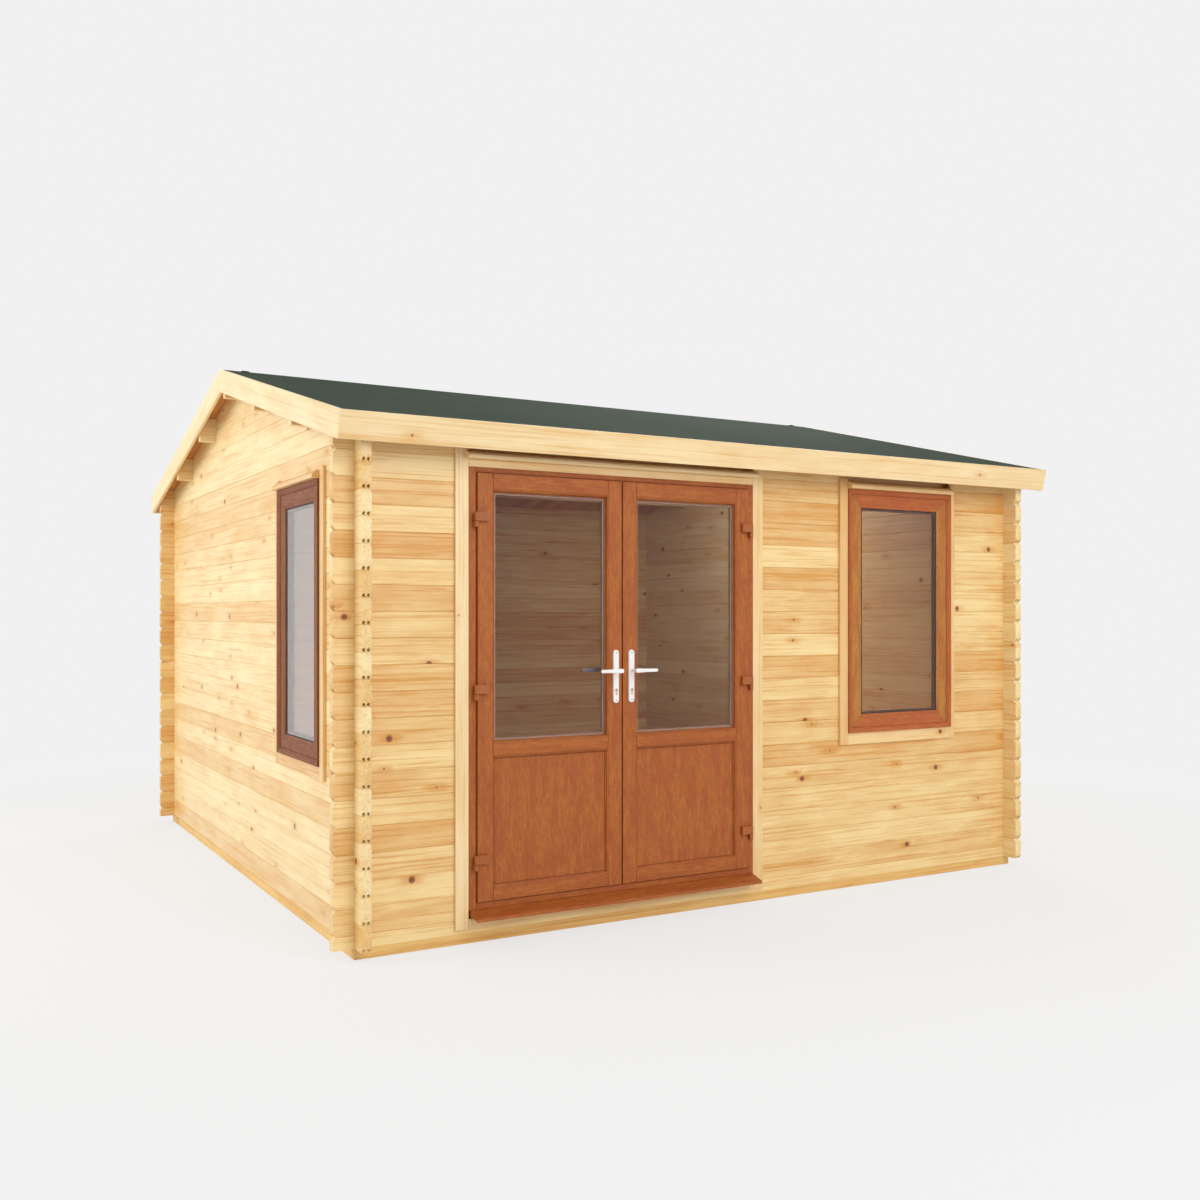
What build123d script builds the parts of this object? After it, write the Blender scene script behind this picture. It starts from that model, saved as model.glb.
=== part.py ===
"""Log cabin with a double-pitched roof, French doors and two windows.

Millimetres, +Z up.  The origin is on the ground at the centre of the plan.  The doors are in the
front wall, which faces -Y; the side walls are the gables.  Positions on the front wall are
measured along +X from its outer left corner, positions on the left wall along +Y from its outer
front corner, and "out" is the distance outwards from a wall's outer face.
"""

from build123d import *

import os
from math import cos, radians, sin, tan

# ---- driving dimensions ------------------------------------------------------------------------

WALL = 3956.0                # outer face to outer face of the log walls, both ways
LOG_T = 45.0                 # log thickness
LOG_H = 114.0                # height of one course
FRONT_COURSES = 19.5         # front and back walls start with half a log
CORNER_COURSES = 21          # courses that can cross at a corner, up to the roof
LAP = LOG_H / 4              # half the height that a log keeps where it crosses another
STUB = 92.0                  # how far the logs run on past each corner
GROOVE_DEPTH = 3.0           # V groove along each joint between courses
GROOVE_HALF = 2.5            # half the groove's height
END_CUT_L = 13.0             # each log's free end is cut back at its top and bottom edges
END_CUT_H = 18.0

BEARER_H = 47.0              # ground bearers and floor joists
BEARER_W = 70.0
JOIST_COUNT = 9
JOIST_END_GAP = 1.0          # between the end of a joist or side bearer and the bearer it meets
FLOOR_T = 19.0

PITCH = 14.0                 # roof pitch in degrees
RIDGE_TOP = 2828.0           # top of the roof felt at the ridge
EAVES_OUT = 176.0            # fascia's outer top corner, beyond the front and back walls
GABLE_OUT = 117.0            # barge board's outer face, beyond the gable walls
DECK_T = 19.0
FELT_T = 3.0
EDGE_BOARD_T = 18.0          # fascia and barge boards
FASCIA_W = 120.0
BARGE_W = 123.0
PURLIN_W = 44.0
PURLIN_H = 137.0
PURLIN_GAP = 6.0             # between a purlin's end and the barge boards
PURLIN_AT = (652.0, 1330.0)  # distances of the side purlins from the ridge

TRIM_T = 15.0                # boards round the doors and windows, outside and inside
INSIDE_TRIM_W = 63.0
INSIDE_TRIM_RISE = 20.0      # inside head boards past the top of the last whole course
SHRINK_GAP = 5.0             # between a wall's cut end and the door or window frame

DOOR_LEFT = 519.0            # door frame's outer edges along the front wall
DOOR_RIGHT = 2082.0
DOOR_BOTTOM = 150.0
DOOR_TOP = 2113.0
DOOR_TRIM_W = 63.0
DOOR_TRIM_BOTTOM = 75.0
DOOR_TRIM_SHORT = 10.0       # side boards stop short of the last whole course's top
DOOR_HEAD_H = 36.0
DOOR_MOULD_H = 34.0
MOULD_OUT = 50.0             # how far the head mouldings stand out
MOULD_EDGE = 6.0             # chamfer under the nose
MOULD_BACK = (8.0, 22.0)     # how far the moulding has sloped back at its shoulder and its top
MOULD_FLAT = (0.55, 0.8)     # shares of its height where the nose ends and the shoulder lies
MOULD_OVERHANG = 16.0        # door head moulding past the frame at each end
JAMB_FACE = 33.0             # visible face of the door frame's jambs
HEAD_FACE = 20.0
THRESHOLD_FACE = 27.0
FRAME_OUT = 17.0             # door frame's face, out from the wall
FRAME_IN = 53.0              # door frame's back, in from the wall's outer face
STOP_LAP = 12.0              # frame's rebate stop behind the leaf's edge

LEAF_GAP = 5.0               # round each leaf
MEETING_GAP = 6.0            # between the leaves at their outer faces
MEETING_SHIFT = 3.0          # meeting line, right of the frame's middle
MEETING_BEVEL = 3.0          # taken off each meeting edge at its inner face
LEAF_OUT = 28.0
LEAF_T = 56.0
STILE = 86.0
TOP_RAIL = 83.0
MID_RAIL_TOP = 895.0
MID_RAIL_BOTTOM = 815.0
BOTTOM_RAIL = 71.0
GLASS_T = 24.0
GLASS_RECESS = 20.0          # glass behind the leaf's or sash's outer face
PANEL_RECESS = 14.0

HINGE_Z = (1872.0, 1106.0, 352.0)   # joint between each hinge's two knuckles
HINGE_AXIS_OUT = 38.5
HINGE_AXIS_INSET = 10.5      # hinge axis past the leaf's edge, towards the frame
KNUCKLE_R = 10.5
PIN_R = 4.0
PIN_FIT = 0.08               # radial running clearance
PIN_UP = 34.0
FLAG_H = 41.0                # leaf's flag, above the joint
FLAG_L = 58.0
FLAG_T = 18.0
FRAME_KNUCKLE_H = 27.0       # frame's knuckle, below the joint
KNUCKLE_GAP = 1.0

SPINDLE_Z = 1194.0
SPINDLE_INSET = {-1: 35.5, 1: 44.0}   # from the meeting edge, on the left and right leaf
CYLINDER_DROP = 92.0         # spindle to key cylinder
PLATE_W = 30.0
PLATE_TOP = 1292.0
PLATE_BOTTOM = 1041.0
PLATE_T = 10.0
NECK_R = 9.0
SPINDLE_R = 5.0
STILE_BORE_R = 12.0
LEVER_L = 113.0              # spindle axis to the lever's tip
LEVER_H = 21.5
LEVER_T = 12.0
LEVER_STAND = 45.0           # gap between plate and lever
KEY_R = 8.5                  # key cylinder: a round barrel over a narrower tail
KEY_TAIL_W = 10.0
KEY_TAIL_DROP = 24.5
KEY_PROUD = 2.0

CILL_UNDER = 120.0
CILL_NOSE_OUT = 102.0
CILL_NOSE_TOP = 126.0
CILL_NOSE_BOTTOM = 112.0
CILL_NOSE_T = 8.0            # thickness of the nose's drip edge
CILL_INSET = 6.0             # cill's ends, in from the frame's outer edges

FRONT_WINDOW = (2715.0, 3466.0, 825.0, 2129.0)   # along the front wall, then heights
SIDE_WINDOW = (446.0, 1132.0, 768.0, 2077.0)     # along the left wall, then heights
WINDOW_OUT = 25.0
WINDOW_DEPTH = 70.0
WINDOW_RIM = 28.0
SASH_FACE = 74.0
SASH_RECESS = 12.0
SASH_DEPTH = 46.0
FRONT_WINDOW_TRIM = (55.0, 34.0)     # visible widths, near the door and near the corner
SIDE_WINDOW_TRIM = (55.0, 55.0)
WINDOW_TRIM_DROP = 62.0
WINDOW_MOULD_H = 38.0
WINDOW_TRIM_RISE = 52.0      # side boards run on above the frame

# ---- worked out from them ----------------------------------------------------------------------

HALF = WALL / 2
INNER = HALF - LOG_T
SLOPE = tan(radians(PITCH))
COS_P = cos(radians(PITCH))
SIN_P = sin(radians(PITCH))
EAVES_Y = HALF + EAVES_OUT
DECK_UNDER = (FELT_T + DECK_T) / COS_P   # felt's top down to the deck's underside
FRONT_TOP = BEARER_H + FRONT_COURSES * LOG_H   # top of the last whole course of front and back walls
LEAF_IN = LEAF_T - LEAF_OUT
SOLID_EPS = 1.0                          # how far cutting boxes run past what they cut


# ---- helpers -----------------------------------------------------------------------------------

def box(x0, x1, y0, y1, z0, z1):
    """A block between two corners."""
    size = (abs(x1 - x0), abs(y1 - y0), abs(z1 - z0))
    return Pos((x0 + x1) / 2, (y0 + y1) / 2, (z0 + z1) / 2) * Box(*size)


def prism_x(points, x0, x1):
    """A (y, z) outline pulled along X."""
    outline = make_face(Polyline(*[(x0, y, z) for y, z in points], close=True))
    return extrude(outline, amount=x1 - x0, dir=(1, 0, 0))


def prism_y(points, y0, y1):
    """An (x, z) outline pulled along Y."""
    outline = make_face(Polyline(*[(x, y0, z) for x, z in points], close=True))
    return extrude(outline, amount=y1 - y0, dir=(0, 1, 0))


def prism_z(points, z0, z1):
    """An (x, y) outline pulled along Z."""
    outline = make_face(Polyline(*[(x, y, z0) for x, y in points], close=True))
    return extrude(outline, amount=z1 - z0, dir=(0, 0, 1))


def rod_y(x, z, radius, y0, y1):
    """A round bar along Y."""
    return Pos(x, (y0 + y1) / 2, z) * Rot(90, 0, 0) * Cylinder(radius, abs(y1 - y0))


def fused(pieces):
    """All pieces as one solid."""
    whole = pieces[0]
    for piece in pieces[1:]:
        whole = whole + piece
    return whole


def front_x(along):
    """X of a place measured along the front wall from its left corner."""
    return along - HALF


def front_y(out):
    """Y of a plane that stands out from the front wall's outer face."""
    return -HALF - out


def side_y(along):
    """Y of a place measured along the left wall from its front corner."""
    return along - HALF


def side_x(out):
    """X of a plane that stands out from the left wall's outer face."""
    return -HALF - out


def roof_top(y):
    """Height of the felt's top."""
    return RIDGE_TOP - SLOPE * abs(y)


def roof_under(y):
    """Height of the roof boards' underside."""
    return roof_top(y) - DECK_UNDER


def joints_between(z0, z1, first_joint):
    """Heights of the joints between courses inside a stretch of wall."""
    joints = []
    joint = first_joint
    while joint < z1 - GROOVE_HALF:
        if joint > z0 + GROOVE_HALF:
            joints.append(joint)
        joint += LOG_H
    return joints


def log_outline(face, z0, z1, first_joint):
    """Section across a wall of stacked logs, with a V groove at each joint on both faces.

    face is the outer face's coordinate and the wall runs LOG_T inwards from it, towards zero.
    """
    inward = -1 if face > 0 else 1
    back = face + inward * LOG_T
    joints = joints_between(z0, z1, first_joint)
    outer = [(face, z0)]
    for joint in joints:
        outer.append((face, joint - GROOVE_HALF))
        outer.append((face + inward * GROOVE_DEPTH, joint))
        outer.append((face, joint + GROOVE_HALF))
    outer.append((face, z1))
    inner = [(back, z1)]
    for joint in reversed(joints):
        inner.append((back, joint + GROOVE_HALF))
        inner.append((back - inward * GROOVE_DEPTH, joint))
        inner.append((back, joint - GROOVE_HALF))
    inner.append((back, z0))
    return outer + inner


def end_line(end, z0, z1, joints, cut_foot):
    """Points up one end of a wall: straight, or cut back at each joint on a free end."""
    if abs(end) <= HALF:
        return [(end, z0), (end, z1)]
    cut = end - END_CUT_L if end > 0 else end + END_CUT_L
    points = [(cut, z0), (end, z0 + END_CUT_H)] if cut_foot else [(end, z0)]
    for joint in joints:
        points += [(end, joint - END_CUT_H), (cut, joint), (end, joint + END_CUT_H)]
    return points + [(end, z1)]


def face_outline(low_end, high_end, z0, z1, joints, cut_foot):
    """Outline of a wall's face, from one end to the other."""
    low = end_line(low_end, z0, z1, joints, cut_foot)
    high = end_line(high_end, z0, z1, joints, cut_foot)
    return low + high[::-1]


def front_band_slots(x_sign, y_sign):
    """What the side wall's logs take out of a front or back wall at one corner."""
    x0 = x_sign * HALF
    y0 = y_sign * (HALF + SOLID_EPS)
    y1 = y_sign * (INNER - SOLID_EPS)
    slots = []
    for course in range(CORNER_COURSES - 1):
        low = BEARER_H + course * LOG_H + LAP
        slots.append(box(x0, x0 - x_sign * LOG_T, y0, y1, low, low + 2 * LAP))
    return slots


def side_band_slots(x_sign, y_sign):
    """What the front or back wall's logs take out of a side wall at one corner."""
    x0 = x_sign * (HALF + SOLID_EPS)
    x1 = x_sign * (INNER - SOLID_EPS)
    y0 = y_sign * HALF
    slots = []
    for course in range(CORNER_COURSES):
        middle = BEARER_H + course * LOG_H
        low = max(BEARER_H - SOLID_EPS, middle - LAP)
        slots.append(box(x0, x1, y0, y0 - y_sign * LOG_T, low, middle + LAP))
    return slots


def rounded_plate(x, z0, z1, y0, y1):
    """A flat handle plate with round ends, standing on edge."""
    radius = PLATE_W / 2
    middle = box(x - radius, x + radius, y0, y1, z0 + radius, z1 - radius)
    return fused([middle, rod_y(x, z0 + radius, radius, y0, y1), rod_y(x, z1 - radius, radius, y0, y1)])


def key_profile(x, y0, y1):
    """The key cylinder's outline as a bar along Y."""
    z = SPINDLE_Z - CYLINDER_DROP
    tail_r = KEY_TAIL_W / 2
    barrel = rod_y(x, z, KEY_R, y0, y1)
    tail = box(x - tail_r, x + tail_r, y0, y1, z - KEY_TAIL_DROP + tail_r, z)
    return fused([barrel, tail, rod_y(x, z - KEY_TAIL_DROP + tail_r, tail_r, y0, y1)])


# ---- ground frame, floor and walls -------------------------------------------------------------

def bearer_frame():
    """Bearers flush with the walls' outer faces, with floor joists laid between them."""
    clear = HALF - BEARER_W
    reach = clear - JOIST_END_GAP
    timbers = []
    for sign in (-1, 1):
        timbers.append(box(-HALF, HALF, sign * clear, sign * HALF, 0, BEARER_H))
        timbers.append(box(sign * clear, sign * HALF, -reach, reach, 0, BEARER_H))
    pitch = 2 * clear / (JOIST_COUNT + 1)
    for n in range(1, JOIST_COUNT + 1):
        x = -clear + pitch * n
        timbers.append(box(x - LOG_T / 2, x + LOG_T / 2, -reach, reach, 0, BEARER_H))
    return Compound(timbers)


def floor():
    """Floor boards on the joists, as one sheet between the walls."""
    return box(-INNER, INNER, -INNER, INNER, BEARER_H, BEARER_H + FLOOR_T)


def front_piece(y_sign, x0, x1, z0, z1):
    """A stretch of the front or back wall, whose joints are half a log up from the bearer."""
    first_joint = BEARER_H + LOG_H / 2
    wall = prism_x(log_outline(y_sign * HALF, z0, z1, first_joint), x0, x1)
    face = face_outline(x0, x1, z0, z1, joints_between(z0, z1, first_joint), False)
    return wall & prism_y(face, y_sign * HALF, y_sign * INNER)


def front_wall_left():
    """From the left corner to the doors."""
    wall = front_piece(-1, -HALF - STUB, front_x(DOOR_LEFT) - SHRINK_GAP, BEARER_H, FRONT_TOP)
    return wall - front_band_slots(-1, -1)


def front_wall_under_door():
    """The log that carries the cill."""
    x0 = front_x(DOOR_LEFT) - SHRINK_GAP
    x1 = front_x(DOOR_RIGHT) + SHRINK_GAP
    return front_piece(-1, x0, x1, BEARER_H, CILL_UNDER)


def front_wall_right():
    """From the doors to the right corner, cut through for the window."""
    wall = front_piece(-1, front_x(DOOR_RIGHT) + SHRINK_GAP, HALF + STUB, BEARER_H, FRONT_TOP)
    left, right, bottom, _ = FRONT_WINDOW
    hole = box(
        front_x(left) - SHRINK_GAP, front_x(right) + SHRINK_GAP,
        -HALF - SOLID_EPS, -INNER + SOLID_EPS, bottom, FRONT_TOP + SOLID_EPS,
    )
    return wall - hole - front_band_slots(1, -1)


def wall_plate(y_sign):
    """Last part-log under the roof boards, with its top bevelled to the slope."""
    outer = y_sign * HALF
    inner = y_sign * INNER
    outline = [
        (outer, FRONT_TOP), (outer, roof_under(outer)),
        (inner, roof_under(inner)), (inner, FRONT_TOP),
    ]
    reach = HALF + STUB
    face = face_outline(-reach, reach, FRONT_TOP, FRONT_TOP + LOG_H, [], True)
    plate = prism_x(outline, -reach, reach) & prism_y(face, outer, inner)
    return plate - front_band_slots(-1, y_sign) - front_band_slots(1, y_sign)


def back_wall():
    """The whole wall opposite the doors, with its bevelled top."""
    wall = front_piece(1, -HALF - STUB, HALF + STUB, BEARER_H, FRONT_TOP)
    wall = wall - front_band_slots(-1, 1) - front_band_slots(1, 1)
    return wall + wall_plate(1)


def purlin_outline(y):
    """Section of a purlin with its top bevelled to the roof."""
    y0 = y - PURLIN_W / 2
    y1 = y + PURLIN_W / 2
    base = roof_under(y) - PURLIN_H
    if y == 0:
        return [(y0, base), (y1, base), (y1, roof_under(y1)), (0, roof_under(0)), (y0, roof_under(y0))]
    return [(y0, base), (y1, base), (y1, roof_under(y1)), (y0, roof_under(y0))]


def purlin_lines():
    """Where the ridge and side purlins run."""
    return [0] + [sign * y for y in PURLIN_AT for sign in (-1, 1)]


def purlins():
    """Ridge and side purlins, each in one length behind the barge boards."""
    reach = HALF + GABLE_OUT - EDGE_BOARD_T - PURLIN_GAP
    return Compound([prism_x(purlin_outline(y), -reach, reach) for y in purlin_lines()])


def gable_wall(x_sign):
    """A side wall up to the roof boards, notched for the purlins and for the corner logs."""
    first_joint = BEARER_H + LOG_H
    reach = HALF + STUB
    x0 = x_sign * (HALF + SOLID_EPS)
    x1 = x_sign * (INNER - SOLID_EPS)
    wall = prism_y(log_outline(x_sign * HALF, BEARER_H, RIDGE_TOP, first_joint), -reach, reach)
    joints = joints_between(BEARER_H, RIDGE_TOP, first_joint)
    face = face_outline(-reach, reach, BEARER_H, RIDGE_TOP, joints, True)
    wall = wall & prism_x(face, min(x0, x1), max(x0, x1))
    for y_sign in (-1, 1):
        above = [
            (0, roof_under(0)), (y_sign * (reach + 1), roof_under(reach + 1)),
            (y_sign * (reach + 1), RIDGE_TOP + 1), (0, RIDGE_TOP + 1),
        ]
        wall -= prism_x(above, min(x0, x1), max(x0, x1))
        wall = wall - side_band_slots(x_sign, y_sign)
    for y in purlin_lines():
        wall -= prism_x(purlin_outline(y), min(x0, x1), max(x0, x1))
    return wall


def left_wall():
    """Gable wall with the side window cut through."""
    near, far, bottom, top = SIDE_WINDOW
    hole = box(
        -HALF - SOLID_EPS, -INNER + SOLID_EPS,
        side_y(near) - SHRINK_GAP, side_y(far) + SHRINK_GAP, bottom, top + WINDOW_MOULD_H / 2,
    )
    return gable_wall(-1) - hole


# ---- roof --------------------------------------------------------------------------------------

def slope_point(y_sign, back, down):
    """A (y, z) point measured from the fascia's outer top corner, up the slope and square to it."""
    y = EAVES_Y - back * COS_P - down * SIN_P
    z = roof_top(EAVES_Y) + back * SIN_P - down * COS_P
    return (y_sign * y, z)


def ridge_point(down):
    """A point on the ridge's centre plane, at a depth measured square to the slope."""
    return (0, RIDGE_TOP - down / COS_P)


def roof_layer(y_sign, top, bottom, x_reach, back):
    """One slope of a layer that lies along the roof between two depths."""
    outline = [
        ridge_point(top), slope_point(y_sign, back, top),
        slope_point(y_sign, back, bottom), ridge_point(bottom),
    ]
    return prism_x(outline, -x_reach, x_reach)


def roof_deck(y_sign):
    """Roof boards of one slope."""
    reach = HALF + GABLE_OUT - EDGE_BOARD_T
    return roof_layer(y_sign, FELT_T, FELT_T + DECK_T, reach, EDGE_BOARD_T)


def roof_felt():
    """Felt over both slopes, between the edge boards."""
    reach = HALF + GABLE_OUT - EDGE_BOARD_T
    return fused([roof_layer(y_sign, 0, FELT_T, reach, EDGE_BOARD_T) for y_sign in (-1, 1)])


def fascia(y_sign):
    """Board over the ends of the roof boards and barge boards, square to the slope."""
    reach = HALF + GABLE_OUT
    outline = [
        slope_point(y_sign, 0, 0), slope_point(y_sign, 0, FASCIA_W),
        slope_point(y_sign, EDGE_BOARD_T, FASCIA_W), slope_point(y_sign, EDGE_BOARD_T, 0),
    ]
    return prism_x(outline, -reach, reach)


def barge_board(x_sign, y_sign):
    """Board up one slope of a gable, cut plumb at the ridge and square behind the fascia."""
    outer = x_sign * (HALF + GABLE_OUT)
    inner = x_sign * (HALF + GABLE_OUT - EDGE_BOARD_T)
    outline = [
        ridge_point(0), slope_point(y_sign, EDGE_BOARD_T, 0),
        slope_point(y_sign, EDGE_BOARD_T, BARGE_W), ridge_point(BARGE_W),
    ]
    return prism_x(outline, min(outer, inner), max(outer, inner))


# ---- door frame and trims ----------------------------------------------------------------------

def door_frame():
    """Welded ring with a rebate whose stop lies behind the leaves."""
    x0 = front_x(DOOR_LEFT)
    x1 = front_x(DOOR_RIGHT)
    stop_out = -LEAF_IN - LEAF_GAP
    block = box(x0, x1, front_y(FRAME_OUT), front_y(-FRAME_IN), DOOR_BOTTOM, DOOR_TOP)
    rebate = box(
        x0 + JAMB_FACE, x1 - JAMB_FACE, front_y(FRAME_OUT + SOLID_EPS), front_y(stop_out),
        DOOR_BOTTOM + THRESHOLD_FACE, DOOR_TOP - HEAD_FACE,
    )
    inset = LEAF_GAP + STOP_LAP
    way = box(
        x0 + JAMB_FACE + inset, x1 - JAMB_FACE - inset, front_y(0), front_y(-FRAME_IN - SOLID_EPS),
        DOOR_BOTTOM + THRESHOLD_FACE + inset, DOOR_TOP - HEAD_FACE - inset,
    )
    return block - rebate - way


def door_cill():
    """Sloping cill under the frame, with a square nose."""
    points = [
        (-FRAME_IN, CILL_UNDER), (-FRAME_IN, DOOR_BOTTOM), (FRAME_OUT, DOOR_BOTTOM),
        (CILL_NOSE_OUT, CILL_NOSE_TOP), (CILL_NOSE_OUT, CILL_NOSE_BOTTOM),
        (CILL_NOSE_OUT - CILL_NOSE_T, CILL_NOSE_BOTTOM), (TRIM_T, CILL_UNDER),
    ]
    outline = [(front_y(out), z) for out, z in points]
    return prism_x(outline, front_x(DOOR_LEFT) + CILL_INSET, front_x(DOOR_RIGHT) - CILL_INSET)


def moulding_points(z0, z1):
    """Head moulding's section as (out, z): flat below, sloping back over a rounded nose."""
    flat, shoulder = [z0 + share * (z1 - z0) for share in MOULD_FLAT]
    shoulder_back, top_back = MOULD_BACK
    return [
        (TRIM_T, z0), (MOULD_OUT - MOULD_EDGE, z0), (MOULD_OUT, z0 + MOULD_EDGE), (MOULD_OUT, flat),
        (MOULD_OUT - shoulder_back, shoulder), (MOULD_OUT - top_back, z1), (TRIM_T, z1),
    ]


def door_trims():
    """Boards round the doors: a closed ring outside and three boards inside."""
    x0 = front_x(DOOR_LEFT)
    x1 = front_x(DOOR_RIGHT)
    face = front_y(TRIM_T)
    wall = front_y(0)
    board_top = FRONT_TOP - DOOR_TRIM_SHORT
    inside_top = FRONT_TOP + INSIDE_TRIM_RISE
    head_top = DOOR_TOP + DOOR_HEAD_H
    outside = [
        box(x0 - DOOR_TRIM_W, x0, face, wall, DOOR_TRIM_BOTTOM, board_top),
        box(x1, x1 + DOOR_TRIM_W, face, wall, DOOR_TRIM_BOTTOM, board_top),
        box(x0, x1, face, wall, DOOR_TRIM_BOTTOM, CILL_UNDER),
        box(x0, x1, face, wall, DOOR_TOP, head_top + DOOR_MOULD_H),
    ]
    mould = [(front_y(out), z) for out, z in moulding_points(head_top, head_top + DOOR_MOULD_H)]
    outside.append(prism_x(mould, x0 - MOULD_OVERHANG, x1 + MOULD_OVERHANG))
    room = front_y(-LOG_T)
    room_face = front_y(-LOG_T - TRIM_T)
    inside = [
        box(x0 - INSIDE_TRIM_W, x0, room, room_face, BEARER_H + FLOOR_T, inside_top),
        box(x1, x1 + INSIDE_TRIM_W, room, room_face, BEARER_H + FLOOR_T, inside_top),
        box(x0, x1, room, room_face, DOOR_TOP, inside_top),
    ]
    return Compound([fused(outside), fused(inside)])


# ---- door leaves -------------------------------------------------------------------------------

class Leaf:
    """Where one leaf lies: side is -1 for the left leaf and 1 for the right."""

    def __init__(self, side):
        middle = front_x((DOOR_LEFT + DOOR_RIGHT) / 2 + MEETING_SHIFT)
        jamb = DOOR_LEFT if side < 0 else DOOR_RIGHT
        self.side = side
        self.hinge_x = front_x(jamb) - side * (JAMB_FACE + LEAF_GAP)
        self.meet_x = middle + side * MEETING_GAP / 2
        self.bottom = DOOR_BOTTOM + THRESHOLD_FACE + LEAF_GAP
        self.top = DOOR_TOP - HEAD_FACE - LEAF_GAP
        self.axis_x = self.hinge_x + side * HINGE_AXIS_INSET
        self.spindle_x = self.meet_x + side * SPINDLE_INSET[side]

    def across(self, from_hinge, from_meeting):
        """X limits at two distances in from the leaf's edges, lowest first."""
        ends = (self.hinge_x - self.side * from_hinge, self.meet_x + self.side * from_meeting)
        return min(ends), max(ends)


def leaf_frame(leaf):
    """Welded stiles and rails, with holes for the spindle and the key cylinder."""
    outer = front_y(LEAF_OUT)
    inner = front_y(-LEAF_IN)
    outline = [
        (leaf.hinge_x, outer), (leaf.meet_x, outer),
        (leaf.meet_x + leaf.side * MEETING_BEVEL, inner), (leaf.hinge_x, inner),
    ]
    solid = prism_z(outline, leaf.bottom, leaf.top)
    x0, x1 = leaf.across(STILE, STILE)
    solid -= box(x0, x1, outer - SOLID_EPS, inner + SOLID_EPS, MID_RAIL_TOP, leaf.top - TOP_RAIL)
    solid -= box(x0, x1, outer - SOLID_EPS, inner + SOLID_EPS, leaf.bottom + BOTTOM_RAIL, MID_RAIL_BOTTOM)
    solid -= rod_y(leaf.spindle_x, SPINDLE_Z, STILE_BORE_R, outer - SOLID_EPS, inner + SOLID_EPS)
    return solid - key_profile(leaf.spindle_x, outer - SOLID_EPS, inner + SOLID_EPS)


def leaf_glass(leaf):
    """Sealed double-glazed unit."""
    x0, x1 = leaf.across(STILE, STILE)
    face = LEAF_OUT - GLASS_RECESS
    return box(x0, x1, front_y(face), front_y(face - GLASS_T), MID_RAIL_TOP, leaf.top - TOP_RAIL)


def leaf_panel(leaf):
    """Solid lower panel."""
    x0, x1 = leaf.across(STILE, STILE)
    face = LEAF_OUT - PANEL_RECESS
    return box(x0, x1, front_y(face), front_y(face - GLASS_T), leaf.bottom + BOTTOM_RAIL, MID_RAIL_BOTTOM)


def knuckle(leaf, radius, z0, z1):
    """An upright barrel on the leaf's hinge axis."""
    return Pos(leaf.axis_x, front_y(HINGE_AXIS_OUT), (z0 + z1) / 2) * Cylinder(radius, z1 - z0)


def leaf_hinges(leaf):
    """Flags screwed to the leaf's face, with the upper knuckles and their blind holes."""
    flags = []
    for z in HINGE_Z:
        low = z + KNUCKLE_GAP / 2
        high = z + FLAG_H
        barrel = knuckle(leaf, KNUCKLE_R, low, high)
        plate = box(
            leaf.axis_x, leaf.axis_x - leaf.side * FLAG_L,
            front_y(LEAF_OUT + FLAG_T), front_y(LEAF_OUT), low, high,
        )
        hole = knuckle(leaf, PIN_R + PIN_FIT, low - SOLID_EPS, z + PIN_UP + KNUCKLE_GAP)
        flags.append(fused([barrel, plate]) - hole)
    return Compound(flags)


def frame_hinges(leaves):
    """Lower knuckles on the door frame, with the pins that the leaves hang on."""
    parts = []
    for leaf in leaves:
        jamb_edge = leaf.hinge_x + leaf.side * LEAF_GAP
        for z in HINGE_Z:
            low = z - FRAME_KNUCKLE_H
            high = z - KNUCKLE_GAP / 2
            barrel = knuckle(leaf, KNUCKLE_R, low, high)
            foot = box(
                jamb_edge, leaf.axis_x + leaf.side * KNUCKLE_R,
                front_y(HINGE_AXIS_OUT), front_y(FRAME_OUT), low, high,
            )
            parts.append(fused([barrel, foot, knuckle(leaf, PIN_R, low, z + PIN_UP)]))
    return Compound(parts)


def handle_plates(leaf):
    """Long plates on both faces of the stile, bored for the lever's necks and the key cylinder."""
    plates = []
    faces = [
        (front_y(LEAF_OUT + PLATE_T), front_y(LEAF_OUT)),
        (front_y(-LEAF_IN), front_y(-LEAF_IN - PLATE_T)),
    ]
    for y0, y1 in faces:
        plate = rounded_plate(leaf.spindle_x, PLATE_BOTTOM, PLATE_TOP, y0, y1)
        plate -= rod_y(leaf.spindle_x, SPINDLE_Z, NECK_R + PIN_FIT, y0 - SOLID_EPS, y1 + SOLID_EPS)
        plates.append(plate - key_profile(leaf.spindle_x, y0 - SOLID_EPS, y1 + SOLID_EPS))
    return Compound(plates)


def key_cylinder(leaf):
    """Key cylinder right through the stile and both plates."""
    reach = PLATE_T + KEY_PROUD
    return key_profile(leaf.spindle_x, front_y(LEAF_OUT + reach), front_y(-LEAF_IN - reach))


def lever_grip(leaf, y0, y1):
    """A flat bar from the neck outwards, round at both ends."""
    tip = leaf.spindle_x + leaf.side * (LEVER_L - LEVER_H / 2)
    x0, x1 = sorted((leaf.spindle_x, tip))
    bar = box(x0, x1, y0, y1, SPINDLE_Z - LEVER_H / 2, SPINDLE_Z + LEVER_H / 2)
    ends = [rod_y(x, SPINDLE_Z, LEVER_H / 2, y0, y1) for x in (x0, x1)]
    return fused([bar] + ends)


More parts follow.
